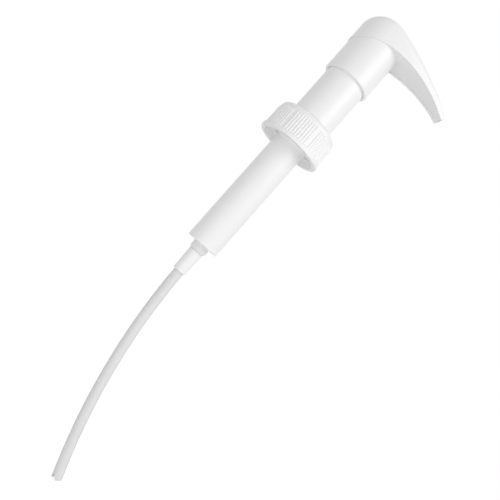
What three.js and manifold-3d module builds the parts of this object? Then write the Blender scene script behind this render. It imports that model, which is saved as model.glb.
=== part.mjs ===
// Dispensing pump for a canister: a screw closure on a 45 mm neck, a barrel with spring, piston and
// two ball valves below it, a fixed guide sleeve above it, and a head with a long drooping beak.
// Millimetres, +Z up the pump's axis. The origin is the point where the axis crosses the plane of
// the neck's rim, which is the underside of the gasket. The beak points along +X.

import * as THREE from "three";
import { mergeVertices } from "three/addons/utils/BufferGeometryUtils.js";
import Module from "manifold-3d";

const wasm = await Module();
wasm.setup();

// Clearances
const SEAT = 0.3; // between two pieces that rest on or plug into each other
const SLIDE = 0.25; // radial, between the piston's lips and the bore
const TELESCOPE = 0.7; // radial, between the head's skirt and the sleeve
const EDGE = 0.5; // small bevels

// Stroke of the head, and what stays between head and closure when it is down
const STROKE = 34;
const DOWN_GAP = 8.6;

// Closure
const NECK_DEPTH = 16.7; // how far the closure hangs down over the neck
const CLOSURE_LEDGE = 6.1; // width of its plate, round the sleeve
const CLOSURE_WALL = 2; // between the ribs
const CLOSURE_BEAD = 1; // the bead stands this far out past the ribs
const CLOSURE_BEAD_HEIGHT = 5.4;
const BEAD_SLOPE = 1.2; // height of the bead's sloping top
const CLOSURE_PLATE = 2.1;
const CLOSURE_ROUND = 4.4; // radius of the shoulder
const RIB_HEIGHT = 0.8;
const RIB_GROUPS = 7;
const RIBS_PER_GROUP = 9; // each group leaves the place of one more rib plain
const RIB_START_DEG = -71.8; // direction of one plain place
const RIB_CREST = 0.2; // half a rib's width at its crest, in pitches
const RIB_ROOT = 0.38; // and at its root

// Gasket
const GASKET = 1.8;
const GASKET_MARGIN = 0.6; // from the closure's wall

// Barrel
const BARREL_WALL = 1.8;
const BARREL_FLOOR = 2;
const FLANGE = 2;
const FLANGE_MARGIN = 1.2; // from the closure's wall
const COLLAR_WALL = 3.75; // the barrel's mouth, inside the sleeve
const COLLAR_HEIGHT = 5.9; // above the flange
const SNAP = 0.6; // height of the snap beads
const VENT_R = 1;

// Spigot under the barrel, connector and dip tube
const SPIGOT_R = 6.9;
const SPIGOT_WALL = 1.5;
const SPIGOT_LENGTH = 6.4;
const SPIGOT_TAPER = 1.6; // height of its drawn-in end
const CONNECTOR_LENGTH = 19.5; // below the spigot
const CONNECTOR_WALL = 1; // round the tube, at its end
const CONNECTOR_TAPER = 0.35;
const PLUG_WALL = 1.4; // the connector's end inside the spigot
const TUBE_R = 4.2;
const TUBE_WALL = 1.1;
const TUBE_LENGTH = 194;
const TUBE_BEND_R = 513; // the set of the coiled stock
const TUBE_STRAIGHT = 7.6; // the part held straight by the connector
const TUBE_NOTCH = 3.8;
const TUBE_NOTCH_WIDTH = 5.4;
const TUBE_NOTCH_TURN = 225; // direction of the notch about the tube, in degrees from +X

// Guide sleeve
const SLEEVE_WALL = 1.6;
const SLEEVE_FLANGE = 1.8;
const SLEEVE_OVERLAP = 4.8; // inside the head's skirt at rest

// Stem and stem guide
const STEM_R = 5.5;
const STEM_WALL = 1.9;
const GUIDE_DEPTH = 6; // below the neck seat's plane
const GUIDE_WALL = 1.3;
const GUIDE_PLATE = 2;
const STEM_SEAL = 2;
const STEM_SEAL_WIDTH = 2.4;

// Piston
const PISTON_REST_GAP = 0.8; // under the stem guide, head up
const STEM_COLLAR = 1.5;
const PISTON_HEIGHT = 9.6;
const LIP = 1; // thickness of its lips
const PISTON_WEB = 2.4;
const HUB_WALL = 1.7;
const FOOT_PLATE = 2;
const FOOT_WALL = 1.4; // round the stem
const FOOT_MARGIN = 0.6; // past the spring
const FOOT_SHANK = 11;
const FOOT_SOCKET = 5; // depth of the stem's seat in the shank
const FOOT_MOUTH = 3; // below the outlet seat
const OUTLET_BALL_R = 2.9;
const OUTLET_HOLE_R = 2.2;
const OUTLET_LIFT = 3;
const BALL_GAP = 0.7; // round both balls
const STEM_RIB_LENGTH = 9; // the ribs that stop the outlet ball
const STEM_RIB_WIDTH = 1;
const STEM_RIB_HEIGHT = 1.5;

// Inlet valve and its cage
const INLET_BALL_R = 4;
const INLET_HOLE_R = 3.1;
const INLET_LIFT = 3;
const VALVE_CONE = 1; // depth of the inlet seat's cone
const CAGE_WALL = 1.4;
const CAGE_RIM = 1.2; // height of the rim round the spring
const CAGE_SLOT = 3.2;
const CAGE_SEAT_HEIGHT = 9; // spring seat above the barrel's floor
const CAGE_FLANGE = 1.6;

// Return spring
const WIRE_R = 0.8;
const SPRING_PLAY = 0.8; // round the piston's foot
const BORE_PLAY = 2; // between spring and bore
const SPRING_LENGTH = 83.8; // fitted, head up
const SPRING_TURNS = 16;
const SPRING_END_GAP = 0.6; // between the closed turns at its ends

// Head
const SKIRT_WALL = 1.8;
const HEAD_PLATE = 2;
const CEILING_GAP = 1.3; // over the sleeve's end when the head is down
const SEAM_DROP = 3.4; // seam below the head's ceiling
const BOSS_WALL = 2.2;
const BOSS_LENGTH = 26;
const COVER_OVERHANG = 0.7; // past the skirt
const COVER_WALL = 1.4;
const COVER_HEIGHT = 18.1; // from the seam to the top
const COVER_ROUND = 4.8; // shoulder radius at the head
const TIP_ROUND = 1.6; // shoulder radius at the beak's tip
const COVER_CROWN = 0.8;
const BEAK_REACH = 76.3; // from the axis to the upper corner of the tip
const TIP_HALF_WIDTH = 6;
const TIP_TAPER = 0.21; // slope of the sides at the tip
const TIP_UNDERCUT = 2.4; // the lower corner of the tip lies this much further back
const BEAK_DROP = 22.4; // from the head's top down to that corner
const TIP_HEIGHT = 2.7;
const BEAK_UNDER_CREST_X = 29; // where the beak's lower edge is highest
const BEAK_UNDER_CREST = 2; // above the seam
const ROOT_EASE = 18; // length over which the sides leave the round of the head
const SIDE_EASE = 42; // length of the straight taper before the tip

// Spout channel
const CHANNEL_RECESS = 0.6; // of its floor, inside the cover's edge
const CHANNEL_FLOOR = 1.2;
const CHANNEL_HALF_WIDTH = 5.2;
const CHANNEL_WALL = 1.1;
const OUTLET_LENGTH = 6; // open underside at the tip
const CHANNEL_PLUG = 1.7; // its foot in the head's boss

// Facets
const FINE = 48; // large round pieces
const ROUND = 32;
const SMALL = 24; // inner pieces

// Heights along the axis that follow from the sizes above
const flangeBottom = GASKET + SEAT;
const flangeTop = flangeBottom + FLANGE;
const sleeveBottom = flangeTop + SEAT;
const sleeveFlangeTop = sleeveBottom + SLEEVE_FLANGE;
const plateBottom = sleeveFlangeTop + SEAT;
const closureTop = plateBottom + CLOSURE_PLATE;
const closureBottom = -NECK_DEPTH;
const collarTop = flangeTop + COLLAR_HEIGHT;
const snapZ = flangeTop + COLLAR_HEIGHT / 2;
const guideBottom = -GUIDE_DEPTH;
const guidePlateBottom = collarTop + SEAT;
const guideTop = guidePlateBottom + GUIDE_PLATE;
const pistonCollarTop = guideBottom - PISTON_REST_GAP;
const pistonTop = pistonCollarTop - STEM_COLLAR - SEAT;
const pistonBottom = pistonTop - PISTON_HEIGHT;
const footTop = pistonBottom - SEAT;
const springTop = footTop - FOOT_PLATE;
const springBottom = springTop - SPRING_LENGTH;
const floorTop = springBottom - CAGE_SEAT_HEIGHT - SEAT;
const barrelBottom = floorTop - BARREL_FLOOR;
const spigotBottom = barrelBottom - SPIGOT_LENGTH;
const connectorBottom = spigotBottom - CONNECTOR_LENGTH;
const socketTop = spigotBottom - SEAT - PLUG_WALL;
const tubeTop = socketTop - SEAT;
const skirtRim = closureTop + DOWN_GAP + STROKE;
const sleeveTop = skirtRim + SLEEVE_OVERLAP;
const ceiling = sleeveTop + STROKE + CEILING_GAP;
const headPlateTop = ceiling + HEAD_PLATE;
const seam = ceiling - SEAM_DROP;
const coverTop = seam + COVER_HEIGHT;

const underCrest = seam + BEAK_UNDER_CREST;
const tipLowZ = coverTop - BEAK_DROP - TIP_HEIGHT;
const tipLowX = BEAK_REACH - TIP_UNDERCUT;

// Radii that follow from the sizes above
const stemBoreR = STEM_R - STEM_WALL;
const stemHoleR = STEM_R + SEAT;
const footR = stemHoleR + FOOT_WALL;
const springR = footR + SPRING_PLAY + WIRE_R; // to the middle of the wire
const boreR = springR + WIRE_R + BORE_PLAY;
const barrelR = boreR + BARREL_WALL;
const collarR = boreR + COLLAR_WALL;
const sleeveInnerR = collarR + SEAT;
const sleeveR = sleeveInnerR + SLEEVE_WALL;
const closureInnerR = sleeveR + CLOSURE_LEDGE;
const closureR = closureInnerR + CLOSURE_WALL + RIB_HEIGHT; // over the ribs
const beadR = closureR + CLOSURE_BEAD;
const flangeR = closureInnerR - FLANGE_MARGIN;
const plugR = SPIGOT_R - SPIGOT_WALL - SEAT;
const socketR = TUBE_R + SEAT;
const connectorR = socketR + CONNECTOR_WALL;
const skirtInnerR = sleeveR + TELESCOPE;
const skirtR = skirtInnerR + SKIRT_WALL;
const coverR = skirtR + COVER_OVERHANG;
const channelFloor = headPlateTop + SEAT;
const beakTopR = arcRadius(BEAK_REACH, BEAK_DROP);
const beakUnderR = arcRadius(tipLowX - BEAK_UNDER_CREST_X, underCrest - tipLowZ);

// Radius of an arc that starts level and falls by a drop over a run
function arcRadius(run, drop) {
  return (run ** 2 + drop ** 2) / (2 * drop);
}

// Solids from geometry, and back
function weld(geometry) {
  const bare = geometry.clone();
  bare.deleteAttribute("normal");
  bare.deleteAttribute("uv");
  const merged = mergeVertices(bare, 1e-4);
  const corner = merged.index.array;
  const place = merged.getAttribute("position").array;
  const kept = [];
  let volume = 0;
  for (let i = 0; i < corner.length; i += 3) {
    const [a, b, c] = [corner[i], corner[i + 1], corner[i + 2]];
    if (a === b || b === c || c === a) continue;
    kept.push(a, b, c);
    const [p, q, r] = [a, b, c].map((k) => new THREE.Vector3().fromArray(place, 3 * k));
    volume += p.dot(q.cross(r));
  }
  if (volume < 0) {
    for (let i = 0; i < kept.length; i += 3) [kept[i], kept[i + 1]] = [kept[i + 1], kept[i]];
  }
  return { place: new Float32Array(place), corner: new Uint32Array(kept) };
}

function solid(geometry) {
  const { place, corner } = weld(geometry);
  return new wasm.Manifold(new wasm.Mesh({ numProp: 3, vertProperties: place, triVerts: corner }));
}

function geometryOf(body) {
  const mesh = body.getMesh();
  const geometry = new THREE.BufferGeometry();
  const place = new Float32Array(mesh.numVert * 3);
  for (let i = 0; i < mesh.numVert; i += 1) {
    for (let k = 0; k < 3; k += 1) place[3 * i + k] = mesh.vertProperties[i * mesh.numProp + k];
  }
  geometry.setAttribute("position", new THREE.BufferAttribute(place, 3));
  geometry.setIndex([...mesh.triVerts]);
  geometry.computeVertexNormals();
  return geometry;
}

// A ring or a body turned about the axis, from [radius, height] points of its section
function turned(points, sides = ROUND) {
  const section = points.map(([r, z]) => new THREE.Vector2(r, z));
  if (points[0][0] > 0 || points[points.length - 1][0] > 0) section.push(section[0].clone());
  return solid(new THREE.LatheGeometry(section, sides).rotateX(Math.PI / 2));
}

function cylinder(radius, low, high, sides = ROUND) {
  const geometry = new THREE.CylinderGeometry(radius, radius, high - low, sides);
  return solid(geometry.rotateX(Math.PI / 2).translate(0, 0, (low + high) / 2));
}

function block(low, high) {
  const size = high.map((value, k) => value - low[k]);
  const middle = high.map((value, k) => (value + low[k]) / 2);
  return solid(new THREE.BoxGeometry(...size).translate(...middle));
}

// A flat outline of [x, y] points, pushed up from one height to another
function plate(outline, low, high) {
  const shape = new THREE.Shape(outline.map(([x, y]) => new THREE.Vector2(x, y)));
  const geometry = new THREE.ExtrudeGeometry(shape, { depth: high - low, bevelEnabled: false });
  return solid(geometry.translate(0, 0, low));
}

// An outline of [x, z] points seen from the side, as thick as twice the half width
function slice(outline, halfWidth) {
  const shape = new THREE.Shape(outline.map(([x, z]) => new THREE.Vector2(x, z)));
  const geometry = new THREE.ExtrudeGeometry(shape, { depth: 2 * halfWidth, bevelEnabled: false });
  return solid(geometry.rotateX(Math.PI / 2).translate(0, halfWidth, 0));
}

function turnedAbout(body, degrees) {
  return body.rotate([0, 0, degrees]);
}

function range(count) {
  return Array.from({ length: count }, (_, k) => k);
}

// Screw closure: plate, wall, bottom bead and round shoulder, with grip ribs in groups
function closure() {
  const base = closureR - RIB_HEIGHT;
  const shoulderZ = closureTop - CLOSURE_ROUND;
  const beadTop = closureBottom + CLOSURE_BEAD_HEIGHT;
  const hole = sleeveR + SEAT;
  const shoulderSteps = 4;
  const shoulder = range(shoulderSteps + 1).map((k) => {
    const turn = (Math.PI / 2) * (k / shoulderSteps);
    return [base - CLOSURE_ROUND * (1 - Math.cos(turn)), shoulderZ + CLOSURE_ROUND * Math.sin(turn)];
  });
  const core = turned([
    [closureInnerR, closureBottom],
    [beadR - EDGE, closureBottom],
    [beadR, closureBottom + EDGE],
    [beadR, beadTop - BEAD_SLOPE],
    [base, beadTop],
    ...shoulder,
    [hole + EDGE, closureTop],
    [hole, closureTop - EDGE],
    [hole, plateBottom],
    [closureInnerR, plateBottom],
  ], FINE);
  const pitch = (2 * Math.PI) / (RIB_GROUPS * (RIBS_PER_GROUP + 1));
  const start = THREE.MathUtils.degToRad(RIB_START_DEG);
  const rootR = base - EDGE / 2;
  const section = [[-RIB_ROOT, rootR], [-RIB_CREST, closureR], [RIB_CREST, closureR], [RIB_ROOT, rootR]];
  const outline = [];
  for (const group of range(RIB_GROUPS)) {
    for (const rib of range(RIBS_PER_GROUP)) {
      const turn = start + pitch * (group * (RIBS_PER_GROUP + 1) + rib + 1);
      for (const [share, radius] of section) {
        outline.push([radius * Math.cos(turn + share * pitch), radius * Math.sin(turn + share * pitch)]);
      }
    }
  }
  const wallMiddle = (closureInnerR + base) / 2;
  const band = plate(outline, beadTop - BEAD_SLOPE, shoulderZ + EDGE);
  return core.add(band.subtract(cylinder(wallMiddle, closureBottom, closureTop, FINE)));
}

// Flat ring between the neck's rim and the barrel's flange
function gasket() {
  return turned([
    [barrelR + SEAT, 0],
    [closureInnerR - GASKET_MARGIN, 0],
    [closureInnerR - GASKET_MARGIN, GASKET],
    [barrelR + SEAT, GASKET],
  ], SMALL);
}

// Height of a ball's middle over the edge of the round hole that it sits on
function ballHeight(ballR, holeR) {
  return Math.sqrt(ballR ** 2 - holeR ** 2);
}

// Barrel with its flange, mouth, floor, inlet seat and spigot, and a vent between the piston's lips
function barrel() {
  const spigotBoreR = plugR + SEAT;
  const wall = turned([
    [INLET_HOLE_R, floorTop - VALVE_CONE],
    [INLET_HOLE_R, barrelBottom],
    [spigotBoreR, barrelBottom],
    [spigotBoreR, spigotBottom],
    [connectorR + CONNECTOR_TAPER, spigotBottom],
    [SPIGOT_R, spigotBottom + SPIGOT_TAPER],
    [SPIGOT_R, barrelBottom],
    [barrelR - EDGE, barrelBottom],
    [barrelR, barrelBottom + EDGE],
    [barrelR, flangeBottom],
    [flangeR, flangeBottom],
    [flangeR, flangeTop],
    [collarR, flangeTop],
    [collarR, snapZ - SNAP],
    [collarR + SNAP, snapZ],
    [collarR, snapZ + SNAP],
    [collarR, collarTop],
    [boreR, collarTop],
    [boreR, snapZ + SNAP + SEAT],
    [boreR + SNAP, snapZ + SEAT],
    [boreR + SNAP, snapZ - SEAT],
    [boreR, snapZ - SNAP - SEAT],
    [boreR, floorTop],
    [INLET_HOLE_R + VALVE_CONE, floorTop],
  ]);
  const ventHeight = (pistonTop + pistonBottom) / 2;
  const vent = solid(new THREE.CylinderGeometry(VENT_R, VENT_R, 3 * BARREL_WALL, 12)
    .translate(0, barrelR - BARREL_WALL / 2, ventHeight));
  return wall.subtract(vent);
}

// Fixed sleeve over the stem, with the flange that the closure pulls down on
function guideSleeve() {
  return turned([
    [sleeveInnerR, sleeveBottom],
    [flangeR, sleeveBottom],
    [flangeR, sleeveFlangeTop],
    [sleeveR, sleeveFlangeTop],
    [sleeveR, sleeveTop - EDGE],
    [sleeveR - EDGE, sleeveTop],
    [sleeveInnerR, sleeveTop],
    [sleeveInnerR, snapZ + SNAP + SEAT],
    [sleeveInnerR + SNAP, snapZ + SEAT],
    [sleeveInnerR + SNAP, snapZ - SEAT],
    [sleeveInnerR, snapZ - SNAP - SEAT],
  ]);
}

// Collar that closes the barrel's mouth and guides the stem
function stemGuide() {
  const outerR = boreR - SEAT;
  const cupR = stemHoleR + STEM_SEAL_WIDTH + SEAT;
  return turned([
    [stemHoleR, guideBottom],
    [stemHoleR + GUIDE_WALL, guideBottom],
    [stemHoleR + GUIDE_WALL, guidePlateBottom],
    [outerR - GUIDE_WALL, guidePlateBottom],
    [outerR - GUIDE_WALL, guideBottom],
    [outerR, guideBottom],
    [outerR, snapZ - SNAP],
    [outerR + SNAP, snapZ],
    [outerR, snapZ + SNAP],
    [outerR, guidePlateBottom],
    [collarR - SEAT, guidePlateBottom],
    [collarR - SEAT, guideTop],
    [cupR + GUIDE_WALL, guideTop],
    [cupR + GUIDE_WALL, guideTop + STEM_SEAL],
    [cupR, guideTop + STEM_SEAL],
    [cupR, guideTop],
    [stemHoleR, guideTop],
  ], SMALL);
}

// Wiper ring in the stem guide's cup, with a raised lip at the stem
function stemSeal() {
  const low = guideTop + SEAT;
  return turned([
    [stemHoleR, low],
    [stemHoleR + STEM_SEAL_WIDTH, low],
    [stemHoleR + STEM_SEAL_WIDTH, low + STEM_SEAL - SEAT],
    [stemHoleR + STEM_SEAL_WIDTH / 2, low + STEM_SEAL - SEAT],
    [stemHoleR + EDGE, low + STEM_SEAL + EDGE],
    [stemHoleR, low + STEM_SEAL + EDGE],
  ], SMALL);
}

// Connector: a plug in the spigot, and a socket for the dip tube
function tubeConnector() {
  return turned([
    [plugR - PLUG_WALL, barrelBottom - SEAT],
    [plugR, barrelBottom - SEAT],
    [plugR, spigotBottom - SEAT],
    [connectorR + CONNECTOR_TAPER, spigotBottom - SEAT],
    [connectorR, connectorBottom + EDGE],
    [connectorR - EDGE / 2, connectorBottom],
    [socketR, connectorBottom],
    [socketR, socketTop],
    [plugR - PLUG_WALL, socketTop],
  ], SMALL);
}

// Middle line of the dip tube: straight in its socket, then an arc towards +X
class DipLine extends THREE.Curve {
  getPoint(share, target = new THREE.Vector3()) {
    const run = share * TUBE_LENGTH;
    const turn = Math.max(0, run - TUBE_STRAIGHT) / TUBE_BEND_R;
    const x = TUBE_BEND_R * (1 - Math.cos(turn));
    const z = tubeTop - Math.min(run, TUBE_STRAIGHT) - TUBE_BEND_R * Math.sin(turn);
    return target.set(x, 0, z);
  }
}

// Dip tube with a V notch across its foot, so that it can't seal itself on the canister's floor
function dipTube() {
  const ring = new THREE.Shape().absarc(0, 0, TUBE_R, 0, 2 * Math.PI, false);
  ring.holes.push(new THREE.Path().absarc(0, 0, TUBE_R - TUBE_WALL, 0, 2 * Math.PI, true));
  const line = new DipLine();
  const tube = solid(new THREE.ExtrudeGeometry(ring, { steps: 12, curveSegments: 9, extrudePath: line }));
  const end = line.getPoint(1);
  const lean = (TUBE_LENGTH - TUBE_STRAIGHT) / TUBE_BEND_R;
  const shape = new THREE.Shape([
    new THREE.Vector2(-TUBE_NOTCH_WIDTH, -TUBE_NOTCH),
    new THREE.Vector2(TUBE_NOTCH_WIDTH, -TUBE_NOTCH),
    new THREE.Vector2(0, TUBE_NOTCH),
  ]);
  const wedge = new THREE.ExtrudeGeometry(shape, { depth: 4 * TUBE_R, bevelEnabled: false })
    .translate(0, 0, -2 * TUBE_R)
    .rotateX(Math.PI / 2)
    .rotateZ(THREE.MathUtils.degToRad(TUBE_NOTCH_TURN - 90))
    .rotateY(-lean)
    .translate(end.x, end.y, end.z);
  return tube.subtract(solid(wedge));
}

// Hollow stem, with a collar over the piston and three ribs that stop the outlet ball
function stem() {
  const low = springTop - FOOT_SOCKET + SEAT;
  const high = channelFloor - CHANNEL_PLUG - SEAT;
  const tube = turned([
    [stemBoreR, low],
    [STEM_R, low],
    [STEM_R, pistonCollarTop - STEM_COLLAR],
    [footR, pistonCollarTop - STEM_COLLAR],
    [footR, pistonCollarTop],
    [STEM_R, pistonCollarTop],
    [STEM_R, high - EDGE],
    [STEM_R - EDGE, high],
    [stemBoreR, high],
  ], SMALL);
  const ribLow = outletBallZ() + OUTLET_BALL_R + OUTLET_LIFT + SEAT;
  let body = tube;
  for (const k of range(3)) {
    const low = [stemBoreR - STEM_RIB_HEIGHT, -STEM_RIB_WIDTH / 2, ribLow];
    const high = [stemBoreR + STEM_WALL / 2, STEM_RIB_WIDTH / 2, ribLow + STEM_RIB_LENGTH];
    body = body.add(turnedAbout(block(low, high), 120 * k));
  }
  return body;
}

// Height of the outlet ball's middle, on its seat in the piston's foot
function outletBallZ() {
  return outletSeat() + ballHeight(OUTLET_BALL_R, OUTLET_HOLE_R) + SEAT;
}

function outletSeat() {
  return springTop - FOOT_SHANK + FOOT_MOUTH;
}

// Piston's foot: it holds the piston on the stem, carries the outlet seat and takes the spring's push
function pistonFoot() {
  const seatZ = outletSeat();
  const chamberR = OUTLET_BALL_R + BALL_GAP;
  return turned([
    [chamberR, springTop - FOOT_SHANK],
    [footR - EDGE, springTop - FOOT_SHANK],
    [footR, springTop - FOOT_SHANK + EDGE],
    [footR, springTop],
    [springR + WIRE_R + FOOT_MARGIN, springTop],
    [springR + WIRE_R + FOOT_MARGIN, footTop],
    [stemHoleR, footTop],
    [stemHoleR, springTop - FOOT_SOCKET],
    [chamberR, springTop - FOOT_SOCKET],
    [chamberR, seatZ + chamberR - OUTLET_HOLE_R],
    [OUTLET_HOLE_R, seatZ],
    [OUTLET_HOLE_R, seatZ - VALVE_CONE],
  ], SMALL);
}

// Piston ring with an upper and a lower lip
function pistonSeal() {
  const lipR = boreR - SLIDE;
  const hubR = stemHoleR + HUB_WALL;
  const middle = (pistonTop + pistonBottom) / 2;
  const web = PISTON_WEB / 2;
  const reliefR = lipR - EDGE;
  return turned([
    [stemHoleR, pistonBottom],
    [hubR, pistonBottom],
    [hubR, middle - web],
    [reliefR - LIP, middle - web],
    [lipR - LIP, pistonBottom + EDGE],
    [lipR, pistonBottom + EDGE],
    [lipR, pistonBottom + EDGE + LIP],
    [reliefR, middle - web],
    [reliefR, middle + web],
    [lipR, pistonTop - EDGE - LIP],
    [lipR, pistonTop - EDGE],
    [lipR - LIP, pistonTop - EDGE],
    [reliefR - LIP, middle + web],
    [hubR, middle + web],
    [hubR, pistonTop],
    [stemHoleR, pistonTop],
  ], SMALL);
}

// A ball valve's ball, on its seat
function ball(radius, height) {
  return solid(new THREE.SphereGeometry(radius, 16, 8).rotateX(Math.PI / 2).translate(0, 0, height));
}

// Height of the inlet ball's middle
function inletBallZ() {
  return floorTop - VALVE_CONE + ballHeight(INLET_BALL_R, INLET_HOLE_R) + SEAT;
}

// Cage over the inlet ball, whose flange is the spring's lower seat
function inletCage() {
  const innerR = INLET_BALL_R + BALL_GAP;
  const outerR = innerR + CAGE_WALL;
  const seatZ = floorTop + CAGE_SEAT_HEIGHT;
  const roof = inletBallZ() + INLET_BALL_R + INLET_LIFT + SEAT;
  const rimR = boreR - SEAT;
  const body = turned([
    [innerR, floorTop + SEAT],
    [outerR, floorTop + SEAT],
    [outerR, seatZ - CAGE_FLANGE],
    [rimR, seatZ - CAGE_FLANGE],
    [rimR, seatZ + CAGE_RIM],
    [rimR - EDGE, seatZ + CAGE_RIM],
    [rimR - EDGE, seatZ],
    [outerR, seatZ],
    [outerR, roof + CAGE_WALL - EDGE],
    [outerR - EDGE, roof + CAGE_WALL],
    [innerR / 2, roof + CAGE_WALL],
    [innerR / 2, roof],
    [innerR, roof],
  ], SMALL);
  let cut = body;
  for (const k of range(3)) {
    const slotTop = seatZ - CAGE_FLANGE - CAGE_WALL;
    const slot = block([0, -CAGE_SLOT / 2, floorTop], [boreR, CAGE_SLOT / 2, slotTop]);
    const port = block([outerR + EDGE, -CAGE_SLOT / 2, slotTop], [rimR - CAGE_WALL, CAGE_SLOT / 2, roof]);
    cut = cut.subtract(turnedAbout(slot, 120 * k));
    cut = cut.subtract(turnedAbout(port, 120 * k + 60));
  }
  return cut;
}

// Middle line of the spring's wire: closed turns at both ends, an even pitch between them
class SpringLine extends THREE.Curve {
  getPoint(share, target = new THREE.Vector3()) {
    const turns = share * SPRING_TURNS;
    const low = springBottom + WIRE_R;
    const high = springTop - WIRE_R - SEAT;
    const closed = 2 * WIRE_R + SPRING_END_GAP;
    const open = (high - low - 2 * closed) / (SPRING_TURNS - 2);
    const first = Math.min(turns, 1) * closed;
    const middle = THREE.MathUtils.clamp(turns - 1, 0, SPRING_TURNS - 2) * open;
    const last = Math.max(0, turns - (SPRING_TURNS - 1)) * closed;
    const angle = 2 * Math.PI * turns;
    return target.set(springR * Math.cos(angle), springR * Math.sin(angle), low + first + middle + last);
  }
}

// Least gap between the wire and itself, over points at least half a turn apart
function leastSpringGap(line) {
  const perTurn = 24;
  const count = SPRING_TURNS * perTurn;
  const points = range(count + 1).map((k) => line.getPoint(k / count));
  let least = Infinity;
  points.forEach((point, k) => {
    for (let other = k + perTurn / 2; other < points.length; other += 1) {
      least = Math.min(least, point.distanceTo(points[other]));
    }
  });
  return least - 2 * WIRE_R;
}

function returnSpring() {
  const line = new SpringLine();
  const wire = new THREE.Shape(range(5).map((k) => {
    const turn = (2 * Math.PI * k) / 5;
    return new THREE.Vector2(WIRE_R * Math.cos(turn), WIRE_R * Math.sin(turn));
  }));
  console.log(`return_spring: least gap to itself ${leastSpringGap(line).toFixed(2)} mm`);
  return solid(new THREE.ExtrudeGeometry(wire, { steps: 8 * SPRING_TURNS, extrudePath: line }));
}

// Half of the head's outline from above, from the middle of its back to past the tip of the beak:
// a quarter circle, then a side that eases into a straight taper
function headOutline(inset) {
  const side = new THREE.CubicBezierCurve(
    new THREE.Vector2(0, coverR),
    new THREE.Vector2(ROOT_EASE, coverR),
    new THREE.Vector2(BEAK_REACH - SIDE_EASE, TIP_HALF_WIDTH + TIP_TAPER * SIDE_EASE),
    new THREE.Vector2(BEAK_REACH, TIP_HALF_WIDTH),
  );
  const backSteps = 9;
  const sideSteps = 12;
  const back = range(backSteps).map((k) => {
    const turn = Math.PI - (Math.PI / 2) * (k / backSteps);
    return new THREE.Vector2(Math.cos(turn), Math.sin(turn)).multiplyScalar(coverR - inset);
  });
  const flank = range(sideSteps + 1).map((k) => {
    const along = side.getTangent(k / sideSteps);
    const inward = new THREE.Vector2(along.y, -along.x).multiplyScalar(inset);
    return side.getPoint(k / sideSteps).add(inward);
  });
  const beyond = new THREE.Vector2(1, -TIP_TAPER).multiplyScalar(coverR / 2).add(flank[sideSteps]);
  return [...back, ...flank, beyond];
}

// Height of the head's top at one place along the beak
function topHeight(x) {
  return coverTop - beakTopR + Math.sqrt(beakTopR ** 2 - Math.max(0, x) ** 2);
}

// Where the arc under the beak leaves the level seam
const underStart = BEAK_UNDER_CREST_X - Math.sqrt((2 * beakUnderR - BEAK_UNDER_CREST) * BEAK_UNDER_CREST);

// Height of the cover's lower edge: level round the head, then the arc under the beak
function underHeight(x) {
  if (x <= underStart) return seam;
  return underCrest - beakUnderR + Math.sqrt(beakUnderR ** 2 - (x - BEAK_UNDER_CREST_X) ** 2);
}

// The head's outer form, drawn in all round by an inset: upright sides, a round shoulder that gets
// smaller towards the tip, and a slightly crowned top
function headForm(inset) {
  const low = skirtRim;
  const shoulderSteps = 4;
  const crownSteps = 2;
  const outline = headOutline(inset);
  const half = outline.map((point, k) => {
    const before = outline[Math.max(0, k - 1)];
    const after = outline[Math.min(outline.length - 1, k + 1)];
    const along = after.clone().sub(before).normalize();
    const inward = k === 0 ? new THREE.Vector2(1, 0) : new THREE.Vector2(along.y, -along.x);
    const share = THREE.MathUtils.clamp(point.x / BEAK_REACH, 0, 1);
    const radius = THREE.MathUtils.lerp(COVER_ROUND, TIP_ROUND, share) - Math.min(inset, 0.75 * TIP_ROUND);
    const top = topHeight(point.x) - inset;
    const shoulder = range(shoulderSteps + 1).map((step) => {
      const turn = (Math.PI / 2) * (step / shoulderSteps);
      const place = inward.clone().multiplyScalar(radius * (1 - Math.cos(turn))).add(point);
      return [place.x, place.y, top - radius * (1 - Math.sin(turn))];
    });
    const [edgeX, edgeY, edgeZ] = shoulder[shoulderSteps];
    const crown = range(crownSteps).map((step) => {
      const across = 1 - (step + 1) / crownSteps;
      return [edgeX, edgeY * across, edgeZ + COVER_CROWN * (1 - across ** 2) * (edgeY / coverR)];
    });
    return [[point.x, 0, low], [point.x, point.y, low], ...shoulder, ...crown];
  });
  return skin(half);
}

// A closed body from columns of points that run from its floor's middle line over one side to its
// top's middle line, mirrored to the other side
function skin(half) {
  const rows = half[0].length;
  const place = [];
  const corner = [];
  const at = (column, row, mirrored) => ((mirrored ? half.length : 0) + column) * rows + row;
  for (const sign of [1, -1]) {
    for (const [x, y, z] of half.flat()) place.push(x, sign * y, z);
  }
  const face = (a, b, c, mirrored) => corner.push(...(mirrored ? [c, b, a] : [a, b, c]));
  for (const mirrored of [false, true]) {
    for (const column of range(half.length - 1)) {
      for (const row of range(rows - 1)) {
        const [a, b] = [at(column, row, mirrored), at(column + 1, row, mirrored)];
        face(a, b, b + 1, mirrored);
        face(a, b + 1, a + 1, mirrored);
      }
    }
    const end = half.length - 1;
    for (const row of range(rows - 2)) {
      face(at(end, 0, mirrored), at(end, row + 2, mirrored), at(end, row + 1, mirrored), mirrored);
    }
  }
  const geometry = new THREE.BufferGeometry();
  geometry.setAttribute("position", new THREE.Float32BufferAttribute(place, 3));
  geometry.setIndex(corner);
  return solid(geometry);
}

// Places along the beak at which its long curves are read
function stations(from, to, count = 14) {
  return range(count + 1).map((k) => from + ((to - from) * k) / count);
}

const channelStart = skirtR + SEAT; // where the channel's floor drops into the beak
const channelEnd = tipLowX - OUTLET_LENGTH;

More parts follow.
